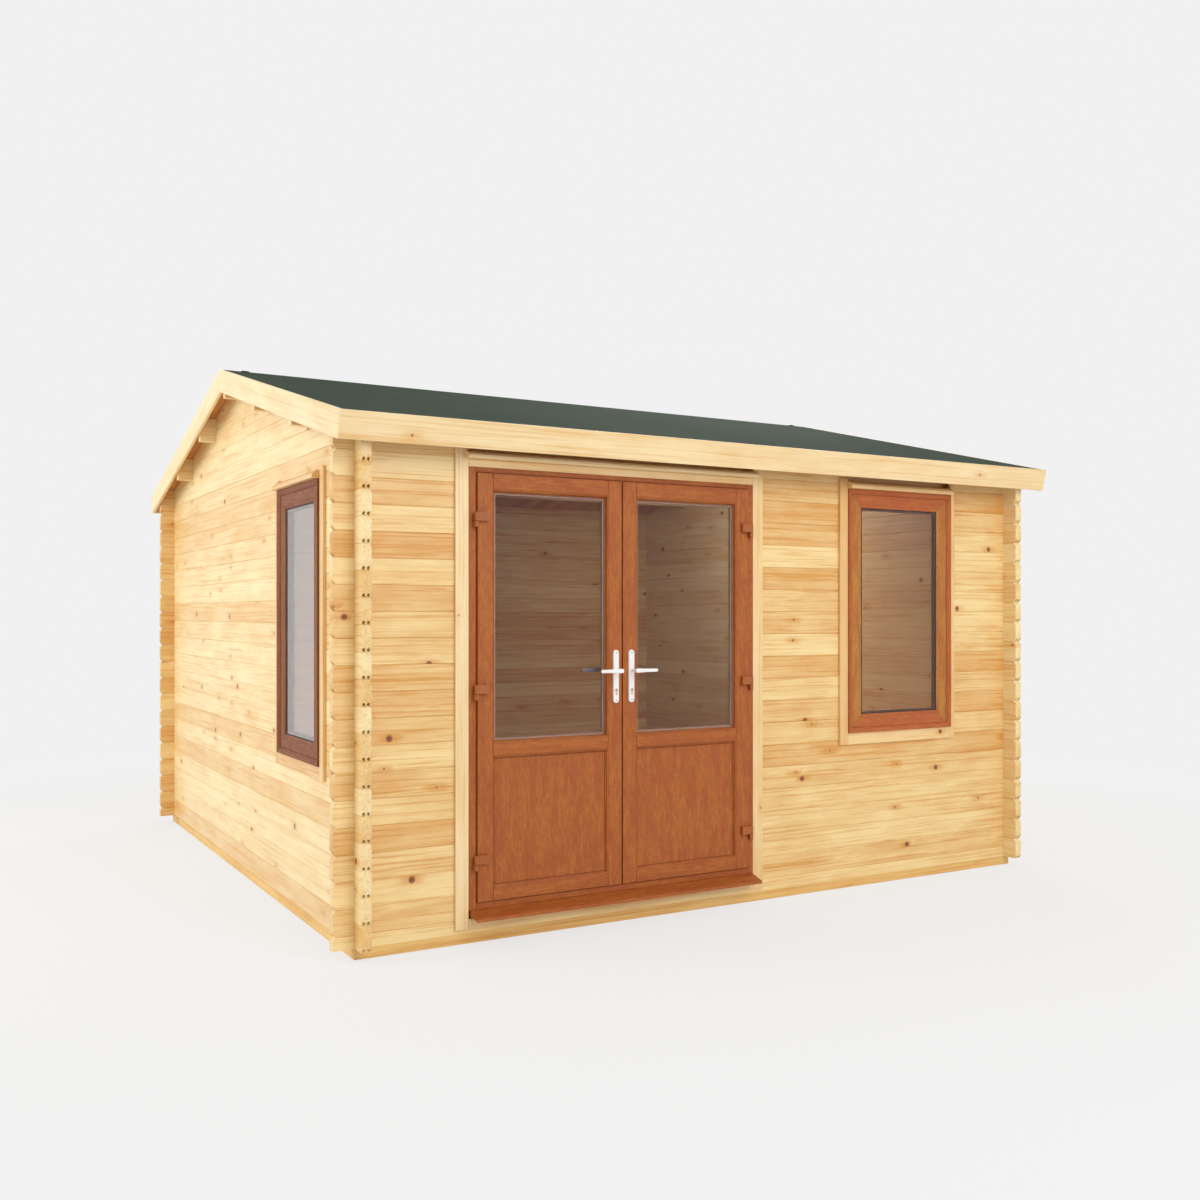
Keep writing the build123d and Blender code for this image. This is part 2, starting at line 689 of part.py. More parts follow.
def lever_pair(leaf):
    """Outside and inside levers on one spindle."""
    stand = PLATE_T + LEVER_STAND
    outside = (front_y(LEAF_OUT + stand + LEVER_T), front_y(LEAF_OUT + stand))
    inside = (front_y(-LEAF_IN - stand), front_y(-LEAF_IN - stand - LEVER_T))
    pieces = [
        lever_grip(leaf, *outside),
        lever_grip(leaf, *inside),
        rod_y(leaf.spindle_x, SPINDLE_Z, SPINDLE_R, outside[1], inside[0]),
        rod_y(leaf.spindle_x, SPINDLE_Z, NECK_R, outside[1], front_y(LEAF_OUT)),
        rod_y(leaf.spindle_x, SPINDLE_Z, NECK_R, front_y(-LEAF_IN), inside[0]),
    ]
    return fused(pieces)


# ---- windows -----------------------------------------------------------------------------------

class Window:
    """A window drawn as if in the front wall; place() moves it to its own wall."""

    def __init__(self, limits, trim_widths, inside_top, on_side):
        self.left, self.right, self.bottom, self.top = limits
        self.trim_widths = trim_widths
        self.inside_top = inside_top
        self.on_side = on_side

    def place(self, solid):
        """Solids are drawn with X along the wall from its corner and Y as minus the distance out."""
        if self.on_side:
            # A quarter turn about the window's own upright centre line makes it face -X, which
            # leaves its two symmetric ends swapped.
            middle = (self.left + self.right) / 2
            return Pos(-HALF, side_y(middle), 0) * Rot(0, 0, -90) * Pos(-middle, 0, 0) * solid
        return Pos(-HALF, -HALF, 0) * solid

    def ring(self, inset, width, out, back):
        """A rectangular frame at an inset from the window's outline."""
        x0, x1 = self.left + inset, self.right - inset
        z0, z1 = self.bottom + inset, self.top - inset
        block = box(x0, x1, -out, -back, z0, z1)
        hole = box(x0 + width, x1 - width, -out - SOLID_EPS, -back + SOLID_EPS, z0 + width, z1 - width)
        return block - hole


def window_frame(window):
    """Outer frame, set in the wall's opening."""
    return window.place(window.ring(0, WINDOW_RIM, WINDOW_OUT, WINDOW_OUT - WINDOW_DEPTH))


def window_sash(window):
    """Inner sash that carries the glass."""
    out = WINDOW_OUT - SASH_RECESS
    return window.place(window.ring(WINDOW_RIM, SASH_FACE, out, out - SASH_DEPTH))


def window_glass(window):
    """Sealed double-glazed unit."""
    inset = WINDOW_RIM + SASH_FACE
    face = WINDOW_OUT - SASH_RECESS - GLASS_RECESS / 2
    pane = box(
        window.left + inset, window.right - inset, -face, -face + GLASS_T,
        window.bottom + inset, window.top - inset,
    )
    return window.place(pane)


def window_trims(window):
    """Boards round the window outside, with a head moulding, and a plain ring inside."""
    near, far = window.trim_widths
    x0, x1 = window.left, window.right
    low = window.bottom - WINDOW_TRIM_DROP
    high = window.top + WINDOW_TRIM_RISE
    mould_top = window.top + WINDOW_MOULD_H
    outside = [
        box(x0 - near, x0, -TRIM_T, 0, low, high),
        box(x1, x1 + far, -TRIM_T, 0, low, high),
        box(x0, x1, -TRIM_T, 0, low, window.bottom),
        box(x0, x1, -TRIM_T, 0, window.top, mould_top),
    ]
    mould = [(-out, z) for out, z in moulding_points(window.top, mould_top)]
    outside.append(prism_x(mould, x0, x1))
    grow = INSIDE_TRIM_W
    room = LOG_T
    plain = box(x0 - grow, x1 + grow, room, room + TRIM_T, window.bottom - grow, window.inside_top)
    plain -= box(x0, x1, room - SOLID_EPS, room + TRIM_T + SOLID_EPS, window.bottom, window.top)
    return Compound([window.place(fused(outside)), window.place(plain)])


# ---- the assembly ------------------------------------------------------------------------------

def build_nodes():
    """Every subcomponent by name."""
    leaves = {"left": Leaf(-1), "right": Leaf(1)}
    windows = {
        "front_window": Window(FRONT_WINDOW, FRONT_WINDOW_TRIM, FRONT_TOP + INSIDE_TRIM_RISE, False),
        "side_window": Window(SIDE_WINDOW, SIDE_WINDOW_TRIM, SIDE_WINDOW[3] + INSIDE_TRIM_W, True),
    }
    nodes = {
        "bearer_frame": bearer_frame(),
        "floor": floor(),
        "front_wall_left": front_wall_left(),
        "front_wall_under_door": front_wall_under_door(),
        "front_wall_right": front_wall_right(),
        "front_wall_plate": wall_plate(-1),
        "back_wall": back_wall(),
        "left_wall": left_wall(),
        "right_wall": gable_wall(1),
        "purlins": purlins(),
        "roof_deck_front": roof_deck(-1),
        "roof_deck_back": roof_deck(1),
        "roof_felt": roof_felt(),
        "fascia_front": fascia(-1),
        "fascia_back": fascia(1),
        "barge_left_front": barge_board(-1, -1),
        "barge_left_back": barge_board(-1, 1),
        "barge_right_front": barge_board(1, -1),
        "barge_right_back": barge_board(1, 1),
        "door_frame": door_frame(),
        "door_cill": door_cill(),
        "door_trims": door_trims(),
        "door_frame_hinges": frame_hinges(leaves.values()),
    }
    for name, window in windows.items():
        nodes[name + "_frame"] = window_frame(window)
        nodes[name + "_sash"] = window_sash(window)
        nodes[name + "_glass"] = window_glass(window)
        nodes[name + "_trims"] = window_trims(window)
    for name, leaf in leaves.items():
        nodes[name + "_leaf"] = leaf_frame(leaf)
        nodes[name + "_door_glass"] = leaf_glass(leaf)
        nodes[name + "_door_panel"] = leaf_panel(leaf)
        nodes[name + "_door_hinges"] = leaf_hinges(leaf)
        nodes[name + "_handle_plates"] = handle_plates(leaf)
        nodes[name + "_key_cylinder"] = key_cylinder(leaf)
        nodes[name + "_lever"] = lever_pair(leaf)
    return nodes


os.makedirs("parts", exist_ok=True)
for node_name, node in build_nodes().items():
    export_step(node, f"parts/{node_name}.step")
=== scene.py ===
"""The log cabin's looks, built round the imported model.

Metres, +Z up, doors towards -Y.  Every solid is made from rings of points, and each point keeps
its place in its own timber or bar as the attribute "grain", with X along the fibres.
"""

import math
import random

import bmesh
import bpy
from mathutils import Matrix, Vector


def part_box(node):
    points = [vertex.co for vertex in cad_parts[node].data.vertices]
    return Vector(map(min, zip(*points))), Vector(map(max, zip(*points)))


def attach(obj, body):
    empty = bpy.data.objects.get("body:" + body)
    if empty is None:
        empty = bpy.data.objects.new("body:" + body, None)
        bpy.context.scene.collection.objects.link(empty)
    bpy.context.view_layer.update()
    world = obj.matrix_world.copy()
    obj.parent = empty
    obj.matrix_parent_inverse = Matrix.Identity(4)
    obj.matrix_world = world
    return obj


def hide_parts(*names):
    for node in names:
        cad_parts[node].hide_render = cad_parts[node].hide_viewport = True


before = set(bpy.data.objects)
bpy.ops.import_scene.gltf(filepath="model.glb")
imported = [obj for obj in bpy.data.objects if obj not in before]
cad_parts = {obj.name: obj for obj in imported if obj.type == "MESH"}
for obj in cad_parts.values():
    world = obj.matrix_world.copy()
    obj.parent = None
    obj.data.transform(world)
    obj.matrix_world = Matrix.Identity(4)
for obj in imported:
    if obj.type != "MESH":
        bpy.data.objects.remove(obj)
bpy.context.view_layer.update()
rng = random.Random(7)

# ---- sizes read from the frame -----------------------------------------------------------------

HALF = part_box("bearer_frame")[1].x           # outer face of the walls
BEARER_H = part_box("bearer_frame")[1].z
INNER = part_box("floor")[1].x                 # inner face of the walls
FLOOR_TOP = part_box("floor")[1].z
LOG_T = HALF - INNER
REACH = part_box("left_wall")[1].y             # ends of the logs
RIDGE_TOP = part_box("roof_felt")[1].z
FRONT_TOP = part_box("front_wall_left")[1].z   # top of the last whole course at the front
EAVES_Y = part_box("fascia_back")[1].y
GABLE_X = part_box("barge_right_back")[1].x
DOOR_LOW, DOOR_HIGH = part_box("door_frame")

# ---- sizes that the frame doesn't give ---------------------------------------------------------

LOG_H = 0.114                # one course
COURSE_GAP = 0.0003          # between two courses, and round each lap joint
V_IN = 0.003                 # V joint's depth
V_UP = 0.0025                # and half its height
TONGUE_AT = 0.0105           # tongues' centre lines from the log's middle
TONGUE_W = 0.0085
TONGUE_H = 0.008
GROOVE_W = 0.0140
GROOVE_DEEP = 0.0155
GROOVE_POINT = 0.003         # the groove's pointed top, above its sides
END_CUT_L = 0.013            # how far a log's end is cut back at its joints
END_CUT_H = 0.018
LAP = LOG_H / 4              # half height left where two logs cross

PITCH = math.radians(14)
FELT_T = 0.003
DECK_T = 0.019
EDGE_BOARD_T = 0.018
FASCIA_W = 0.120
BARGE_W = 0.123
PURLIN_W = 0.044
PURLIN_H = 0.137
PURLIN_AT = (0.652, 1.330)
TRIM_T = 0.015
MOULD_OUT = 0.050
PANE_T = 0.004
GLASS_UNIT_T = 0.024
SEAM = 0.0002                # between a board or bar and what it lies against
EDGE_GAP = 0.0003            # between boards and bars that meet at their ends
ROOF_GAP = 0.0004            # between the roof boards and what carries them
OPENING_GAP = 0.005          # between a wall's cut end and the door or window frame
LEAST_LOG_H = 0.006          # a part of a log that is lower than this is left out
LOG_TIP_H = 0.002            # what a gable log has left under the roof at its tips
CUT_SLACK = 0.004            # a cut from this little above a log's underside takes its lower part
BEAD_W = 0.012               # doors' glazing beads
PLATE_T = 0.010              # handle plates
CLOSE = 1e-6                 # places nearer than this count as one

SLOPE = math.tan(PITCH)
COS_P = math.cos(PITCH)
SIN_P = math.sin(PITCH)
DECK_UNDER = (FELT_T + DECK_T) / COS_P
WALL_MID = HALF - LOG_T / 2
PURLINS_Y = (0.0, *PURLIN_AT, *[-y for y in PURLIN_AT])
OUTSIDE = (SEAM, TRIM_T)     # where trim boards begin and end, out from the wall's outer face
INSIDE = (-LOG_T - TRIM_T, -LOG_T - SEAM)
RIDGE_UNDER = RIDGE_TOP - DECK_UNDER

# Places on a wall are (u, out, z): u along it from its left or front corner, out from its face.
FRONT = Matrix(((1, 0, 0, -HALF), (0, -1, 0, -HALF), (0, 0, 1, 0), (0, 0, 0, 1)))
LEFT = Matrix(((0, -1, 0, -HALF), (1, 0, 0, -HALF), (0, 0, 1, 0), (0, 0, 0, 1)))


def roof_top(y):
    """Height of the felt's top."""
    return RIDGE_TOP - SLOPE * abs(y)


def roof_under(y):
    """Height of the roof boards' underside."""
    return roof_top(y) - DECK_UNDER


# ---- solids ------------------------------------------------------------------------------------

class Solids:
    """Closed solids in one mesh, with each point's place along and across the fibres.

    Points are given in local places, and the matrix called place moves them into the frame.
    """

    def __init__(self, place=None):
        self.place = place or Matrix.Identity(4)
        self.mesh = bmesh.new()
        self.grain = self.mesh.verts.layers.float_vector.new("grain")
        self.tone = self.mesh.verts.layers.float.new("tone")

    def add(self, points, faces, grain, tone, material=0):
        """One solid: points that coincide become one, and faces that close up are left out."""
        made = {}
        index = []
        for point, fibre_place in zip(points, grain):
            moved = self.place @ Vector(point)
            key = tuple(round(c, 6) for c in moved)
            if key not in made:
                made[key] = self.mesh.verts.new(moved)
                made[key][self.grain] = fibre_place
                made[key][self.tone] = tone
            index.append(made[key])
        for face in faces:
            ring = []
            for i in face:
                if not ring or index[i] is not ring[-1]:
                    ring.append(index[i])
            if len(ring) > 1 and ring[0] is ring[-1]:
                ring.pop()
            if len(ring) > 2 and len(set(ring)) == len(ring) and not self.mesh.faces.get(ring):
                self.mesh.faces.new(ring).material_index = material


def grain_shift():
    """Where a timber's middle lies in its tree, so that no two show the same grain."""
    return Vector((rng.uniform(0, 60), rng.uniform(-0.07, 0.07), rng.uniform(-0.05, 0.05)))


def grain_axes(points, axis):
    """The axes along the fibres, through the thickness and across the width of some points."""
    others = [k for k in range(3) if k != axis]
    extent = {k: max(p[k] for p in points) - min(p[k] for p in points) for k in others}
    thin, wide = sorted(others, key=extent.get)
    return axis, thin, wide


def side_faces(base, count):
    """The faces between the ring of points that starts at base and the next ring."""
    faces = []
    for i in range(count):
        j = (i + 1) % count
        faces.append((base + i, base + j, base + count + j, base + count + i))
    return faces


def loft(solids, rings, axis=0, material=0, tone=None):
    """A solid through rings of equally many local points, with its fibres along an axis."""
    tone = rng.random() if tone is None else tone
    points = [Vector(p) for ring in rings for p in ring]
    middle = sum(points, Vector()) / len(points)
    shift = grain_shift()
    axes = grain_axes(points, axis)
    grain = [Vector([(p - middle)[k] for k in axes]) + shift for p in points]
    count = len(rings[0])
    last = len(points) - count
    faces = []
    for base in range(0, last, count):
        faces += side_faces(base, count)
    faces += [tuple(range(count)), tuple(range(last, len(points)))]
    solids.add(points, faces, grain, tone, material)


def prism(solids, section, x0, x1, **options):
    """A (y, z) section pulled along local X."""
    loft(solids, [[(x, y, z) for y, z in section] for x in (x0, x1)], axis=0, **options)


def upright(solids, section, z0, z1, **options):
    """An (x, y) section pulled up local Z."""
    loft(solids, [[(x, y, z) for x, y in section] for z in (z0, z1)], axis=2, **options)


def block(solids, corner, opposite, axis=0, **options):
    """A block between two opposite corners."""
    (x0, x1), (y0, y1), (z0, z1) = [sorted(pair) for pair in zip(corner, opposite)]
    rings = [[(x, y0, z0), (x, y1, z0), (x, y1, z1), (x, y0, z1)] for x in (x0, x1)]
    loft(solids, rings, axis=axis, **options)


def arc(a, b, radius, start, sweep, steps):
    """Points along an arc round the centre (a, b), from start through sweep degrees."""
    points = []
    for k in range(steps + 1):
        angle = math.radians(start + sweep * k / steps)
        points.append((a + radius * math.cos(angle), b + radius * math.sin(angle)))
    return points


def lathe(solids, profile, centre, axis=2, sides=24, **options):
    """A round solid: profile is (place along the axis, radius) pairs."""
    rings = []
    for along, radius in profile:
        ring = []
        for k in range(sides):
            angle = 2 * math.pi * k / sides
            point = [0.0, 0.0, 0.0]
            point[axis] = along
            point[(axis + 1) % 3] = centre[0] + radius * math.cos(angle)
            point[(axis + 2) % 3] = centre[1] + radius * math.sin(angle)
            ring.append(tuple(point))
        rings.append(ring)
    loft(solids, rings, axis=axis, **options)


def finish_piece(name, solids, materials, nodes=(), bevel=0.0, body="cabin"):
    """Turns gathered solids into a piece that rides on a body and stands for CAD nodes."""
    bmesh.ops.recalc_face_normals(solids.mesh, faces=solids.mesh.faces)
    mesh = bpy.data.meshes.new(name)
    solids.mesh.to_mesh(mesh)
    solids.mesh.free()
    for material in materials:
        mesh.materials.append(material)
    piece = bpy.data.objects.new(name, mesh)
    bpy.context.scene.collection.objects.link(piece)
    mesh.shade_smooth()
    if bevel:
        rounding = piece.modifiers.new("rounding", "BEVEL")
        rounding.width = bevel
        rounding.segments = 2
        rounding.limit_method = "ANGLE"
        rounding.angle_limit = math.radians(40)
        shading = piece.modifiers.new("shading", "WEIGHTED_NORMAL")
        shading.keep_sharp = True
    else:
        mesh.set_sharp_from_angle(angle=math.radians(32))
    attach(piece, body)
    if nodes:
        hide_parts(*nodes)


# ---- materials ---------------------------------------------------------------------------------

class Shader:
    """The node tree of a new material or world, with short calls for the nodes used here."""

    def __init__(self, name, kind="Material"):
        store = bpy.data.worlds if kind == "World" else bpy.data.materials
        self.owner = store.new(name)
        self.owner.use_nodes = True
        self.tree = self.owner.node_tree
        self.tree.nodes.clear()
        self.output = self.node("Output" + kind)

    def put(self, socket, value):
        """Links an input to another node's output, or sets its value."""
        if isinstance(value, bpy.types.NodeSocket):
            self.tree.links.new(value, socket)
        else:
            socket.default_value = value

    def node(self, kind, inputs=None, **settings):
        """A node with its settings made and its inputs set or linked."""
        made = self.tree.nodes.new("ShaderNode" + kind)
        for key, value in settings.items():
            setattr(made, key, value)
        for key, value in (inputs or {}).items():
            self.put(made.inputs[key], value)
        return made

    def attribute(self, name, output="Vector"):
        return self.node("Attribute", attribute_name=name).outputs[output]

    def math(self, operation, *values, clamp=False):
        inputs = dict(enumerate(values))
        return self.node("Math", inputs, operation=operation, use_clamp=clamp).outputs[0]

    def times(self, value, factor):
        return self.math("MULTIPLY", value, factor)

    def total(self, first, *others):
        """The values' sum, held between 0 and 1 at the end."""
        for k, value in enumerate(others, 1):
            first = self.math("ADD", first, value, clamp=k == len(others))
        return first

    def vectors(self, operation, a, b):
        return self.node("VectorMath", {0: a, 1: b}, operation=operation).outputs[0]

    def scaled(self, vector, scale):
        return self.vectors("MULTIPLY", vector, scale)

    def length(self, vector):
        return self.node("VectorMath", {0: vector}, operation="LENGTH").outputs["Value"]

    def flat(self, x, y=0.0):
        """The vector (x, y, 0)."""
        return self.node("CombineXYZ", {"X": x, "Y": y}).outputs[0]

    def noise(self, vector, scale, detail=3.0, roughness=0.55, distortion=0.0):
        inputs = {"Vector": vector, "Scale": scale, "Detail": detail, "Roughness": roughness,
                  "Distortion": distortion}
        return self.node("TexNoise", inputs).outputs["Fac"]

    def remap(self, value, low, high, to_low=0.0, to_high=1.0, smooth=True):
        inputs = {"Value": value, "From Min": low, "From Max": high, "To Min": to_low, "To Max": to_high}
        kind = "SMOOTHSTEP" if smooth else "LINEAR"
        return self.node("MapRange", inputs, interpolation_type=kind).outputs["Result"]

    def mix(self, factor, a, b):
        """A colour between a and b."""
        made = self.node("Mix", data_type="RGBA", clamp_factor=True)
        inputs = {socket.identifier: socket for socket in made.inputs}
        for name, value in (("Factor_Float", factor), ("A_Color", a), ("B_Color", b)):
            self.put(inputs[name], value)
        return next(s for s in made.outputs if s.identifier == "Result_Color")

    def mix_shaders(self, factor, a, b):
        return self.node("MixShader", {0: factor, 1: a, 2: b}).outputs[0]

    def bump(self, height, strength, distance):
        inputs = {"Height": height, "Strength": strength, "Distance": distance}
        return self.node("Bump", inputs).outputs["Normal"]

    def finish(self, surface):
        self.tree.links.new(surface, self.output.inputs["Surface"])
        return self.owner

    def principled(self, inputs):
        return self.finish(self.node("BsdfPrincipled", inputs).outputs[0])


def rgb(red, green, blue):
    """A linear colour from the 0 to 255 levels that it shows as."""
    levels = []
    for value in (red, green, blue):
        share = value / 255
        levels.append(share / 12.92 if share <= 0.04045 else ((share + 0.055) / 1.055) ** 2.4)
    return (*levels, 1.0)


def knots(s, grain, bent_parts, knot_share):
    """Masks of the knots, their dark hearts and the fibres that they push aside.

    Knots lie on a timber's wide face, in cells about a third of a metre across.
    """
    on_face = s.flat(bent_parts[0], bent_parts[2])
    cells = s.node("TexVoronoi", {"Vector": on_face, "Scale": 3.0}, voronoi_dimensions="2D")
    offset = s.vectors("SUBTRACT", on_face, cells.outputs["Position"])
    chance = s.node("SeparateColor", {0: cells.outputs["Color"]}).outputs
    present = s.remap(chance[0], 1.0 - knot_share, 1.0 - knot_share + 0.02)
    size = s.remap(chance[1], 0.0, 1.0, 0.006, 0.017, smooth=False)
    ragged = s.times(s.noise(grain, 70.0, 3.0), 0.008)
    edge = s.math("SUBTRACT", s.math("ADD", s.length(offset), ragged), size)
    halo = s.length(s.scaled(offset, (11.0, 32.0, 1.0)))
    masks = s.remap(edge, 0.006, 0.001), s.remap(edge, 0.001, -0.004), s.remap(halo, 1.0, 0.0)
    return [s.times(mask, present) for mask in masks]


def late_wood(s, bent_parts, around):
    """Growth rings about the tree's middle: a slow rise to each dark line and a quick fall after it."""
    radius = s.length(s.flat(bent_parts[1], bent_parts[2]))
    radius = s.math("ADD", radius, s.times(around, 0.012))
    uneven = s.noise(s.flat(radius), 110.0, 2.0)
    turns = s.math("ADD", s.math("DIVIDE", radius, 0.0075), s.times(uneven, 2.6))
    saw = s.math("FRACT", turns)
    return s.times(s.remap(saw, 0.2, 0.85), s.remap(saw, 1.0, 0.9))


def pine(name, pale, deep, knot_share=0.5, coat=0.35, rough_sawn=0.0):
    """Softwood: cloudy tone along the fibres, faint growth rings, thin resin streaks, and knots."""
    s = Shader(name)
    grain = s.attribute("grain")
    tone = s.attribute("tone", "Fac")
    slow = s.node("TexNoise", {"Vector": s.scaled(grain, (1.3, 9.0, 9.0)), "Scale": 1.0, "Detail": 2.0})
    drift = s.scaled(s.vectors("SUBTRACT", slow.outputs["Color"], (0.5, 0.5, 0.5)), (0.0, 0.022, 0.022))
    bent = s.vectors("ADD", grain, drift)
    bent_parts = s.node("SeparateXYZ", {0: bent}).outputs
    knot, heart, around = knots(s, grain, bent_parts, knot_share)
    late = late_wood(s, bent_parts, around)
    fibre = s.noise(s.scaled(grain, (9.0, 320.0, 320.0)), 1.0, 3.0)
    streak = s.noise(s.scaled(bent, (1.0, 95.0, 95.0)), 1.0, 3.0, 0.6)
    cloud = s.noise(s.scaled(bent, (2.4, 17.0, 17.0)), 1.0, 4.0, 0.62)
    blotch = s.noise(s.scaled(grain, (3.2, 6.0, 6.0)), 1.0, 3.0, 0.6)
    share = s.total(
        s.remap(tone, 0.0, 1.0, -0.02, 0.62, smooth=False),
        s.remap(cloud, 0.3, 0.7, -0.16, 0.18),
        s.remap(blotch, 0.3, 0.7, -0.1, 0.12),
        s.remap(streak, 0.52, 0.63, 0.0, 0.42),
        s.times(late, 0.13),
        s.remap(fibre, 0.3, 0.7, -0.07, 0.07),
        s.times(around, 0.55),
    )
    colour = s.mix(share, pale, deep)
    colour = s.mix(s.times(knot, 0.8), colour, rgb(172, 88, 42))
    colour = s.mix(s.times(heart, 0.75), colour, rgb(88, 42, 24))
    height = s.math("ADD", s.times(late, 0.4), s.times(fibre, 0.6 + rough_sawn))
    dull = 0.2 * rough_sawn
    return s.principled({
        "Base Color": colour,
        "Roughness": s.remap(cloud, 0.3, 0.7, 0.44 + dull, 0.54 + dull, smooth=False),
        "Specular IOR Level": 0.5,
        "Coat Weight": coat,
        "Coat Roughness": 0.32,
        "Normal": s.bump(height, 0.3, 0.0006 + 0.001 * rough_sawn),
    })


def foil(name, light, dark, red):
    """Wood-grain foil on uPVC: short dark pores along the bar over cloudy orange-brown."""
    s = Shader(name)
    grain = s.attribute("grain")
    tone = s.attribute("tone", "Fac")
    cloud = s.noise(s.scaled(grain, (5.0, 28.0, 28.0)), 1.0, 3.0, 0.6)
    figure = s.noise(s.scaled(grain, (22.0, 95.0, 95.0)), 1.0, 4.0, 0.62, 0.4)
    pore = s.remap(s.noise(s.scaled(grain, (70.0, 620.0, 620.0)), 1.0, 2.0, 0.5), 0.54, 0.66)
    share = s.total(
        s.remap(figure, 0.34, 0.68, 0.0, 0.55),
        s.remap(cloud, 0.35, 0.7, 0.0, 0.28),
        s.remap(tone, 0.0, 1.0, -0.1, 0.12, smooth=False),
    )
    colour = s.mix(share, light, dark)
    colour = s.mix(s.remap(cloud, 0.42, 0.62, 0.0, 0.5), colour, red)
    colour = s.mix(s.times(pore, 0.3), colour, rgb(92, 46, 24))
    height = s.math("SUBTRACT", s.times(figure, 0.4), s.times(pore, 0.8))
    return s.principled({
        "Base Color": colour,
        "Roughness": s.remap(figure, 0.3, 0.7, 0.46, 0.58, smooth=False),
        "Specular IOR Level": 0.35,
        "Normal": s.bump(height, 0.25, 0.0004),
    })


def felt_material():
    """Dark green roofing felt: fine mineral grit, with faint streaks down the slope."""
    s = Shader("green_felt")
    grain = s.attribute("grain")
    grit = s.noise(grain, 700.0, 2.0, 0.6)
    streak = s.noise(s.scaled(grain, (30.0, 1.0, 1.6)), 1.0, 3.0, 0.6)
    stain = s.noise(s.scaled(grain, (1.2, 1.0, 1.8)), 1.0, 3.0, 0.5)
    colour = s.mix(s.remap(grit, 0.34, 0.66), rgb(22, 39, 24), rgb(44, 61, 38))
    colour = s.mix(s.remap(streak, 0.4, 0.7, 0.0, 0.4), colour, rgb(36, 52, 36))
    colour = s.mix(s.remap(stain, 0.4, 0.65, 0.0, 0.3), colour, rgb(54, 68, 48))
    return s.principled({
        "Base Color": colour,
        "Roughness": s.remap(grit, 0.3, 0.7, 0.82, 0.96, smooth=False),
        "Specular IOR Level": 0.2,
        "Normal": s.bump(grit, 0.4, 0.0006),
    })


def glass_material(name, tint, ior):
    """Clear glass with a faint tint, which lets the lamps' light through."""
    s = Shader(name)
    drift = s.noise(s.attribute("grain"), 1.5, 1.0)
    glass = s.node("BsdfPrincipled", {
        "Base Color": tint, "Roughness": 0.0, "IOR": ior, "Transmission Weight": 1.0,
        "Normal": s.bump(drift, 0.05, 0.0004),
    })
    clear = s.node("BsdfTransparent", {"Color": tint})
    shadow = s.node("LightPath").outputs["Is Shadow Ray"]
    return s.finish(s.mix_shaders(shadow, glass.outputs[0], clear.outputs[0]))


def plain_coat(name, colour, other, roughness, metallic=0.0, coat=0.0):
    """A painted, moulded or metal surface with a fine orange-peel texture."""
    s = Shader(name)
    place = s.attribute("grain")
    fine = s.noise(place, 220.0, 3.0)
    wide = s.noise(place, 18.0, 2.0)
    mixed = s.mix(s.remap(wide, 0.35, 0.65, 0.0, 0.7), colour, other)
    return s.principled({
        "Base Color": mixed,
        "Roughness": s.remap(fine, 0.3, 0.7, roughness - 0.05, roughness + 0.06, smooth=False),
        "Metallic": metallic,
        "Coat Weight": coat,
        "Normal": s.bump(fine, 0.15, 0.0003),
    })


LOGS = pine("log_pine", rgb(244, 216, 154), rgb(214, 152, 70))
# The side walls' logs get a paler, less saturated copy of the log colour: painted sheen and painted light,
# standing in for the white that grazing reflection and the bright lamp add on the left wall.
SIDE_LOGS_PAINTED_SHEEN = pine("side_log_pine_painted_sheen", rgb(247, 226, 172), rgb(226, 178, 104))
PLANED = pine("planed_pine", rgb(246, 224, 176), rgb(228, 184, 116), 0.2)
TRIM_PINE = pine("trim_pine", rgb(240, 206, 146), rgb(218, 162, 90), 0.2)
ROOF_BOARDS = pine("roof_boards", rgb(224, 168, 92), rgb(188, 116, 48), 0.4, 0.1, 0.4)
FLOOR_BOARDS = pine("floor_boards", rgb(232, 200, 146), rgb(198, 142, 78), 0.4, 0.2)
SAWN = pine("bearer_timber", rgb(236, 196, 122), rgb(206, 146, 70), 0.3, 0.1, 1.0)
DOOR_FOIL = foil("oak_foil_upvc", rgb(182, 104, 40), rgb(144, 74, 30), rgb(164, 80, 36))
WINDOW_FOIL = foil("oak_foil_window", rgb(190, 128, 52), rgb(160, 96, 40), rgb(170, 92, 40))
WINDOW_RAIL_FOIL = foil("oak_foil_window_rail", rgb(190, 106, 48), rgb(160, 80, 38), rgb(176, 86, 44))
SIDE_FOIL = foil("oak_foil_side", rgb(142, 84, 38), rgb(112, 58, 26), rgb(124, 60, 32))
FELT = felt_material()
# The doors' glass is tinted darker and greyer than the windows' glass to dim the room seen through it:
# painted shade.
DOOR_GLASS_PAINTED_SHADE = glass_material("door_glass", (0.73, 0.74, 0.79, 1.0), 1.25)
FRONT_GLASS = glass_material("front_window_glass", (1.0, 0.96, 0.92, 1.0), 1.25)
SIDE_GLASS = glass_material("side_window_glass", (1.0, 0.96, 0.91, 1.0), 1.56)
GASKET = plain_coat("black_gasket", rgb(46, 32, 28), rgb(34, 26, 24), 0.6)
LIGHT_GASKET = plain_coat("brown_gasket", rgb(156, 108, 80), rgb(144, 98, 72), 0.6)
SEAL = plain_coat("door_seal", rgb(150, 80, 40), rgb(138, 72, 36), 0.6)
SPACER = plain_coat("brown_spacer", rgb(92, 64, 48), rgb(80, 56, 44), 0.5, 0.3)
DOOR_SPACER = plain_coat("door_spacer", rgb(206, 162, 132), rgb(190, 148, 120), 0.5, 0.2)
HINGE = plain_coat("brown_hinge", rgb(166, 90, 36), rgb(152, 78, 32), 0.46)
WHITE = plain_coat("white_handle", rgb(243, 243, 241), rgb(236, 236, 234), 0.3, coat=0.3)
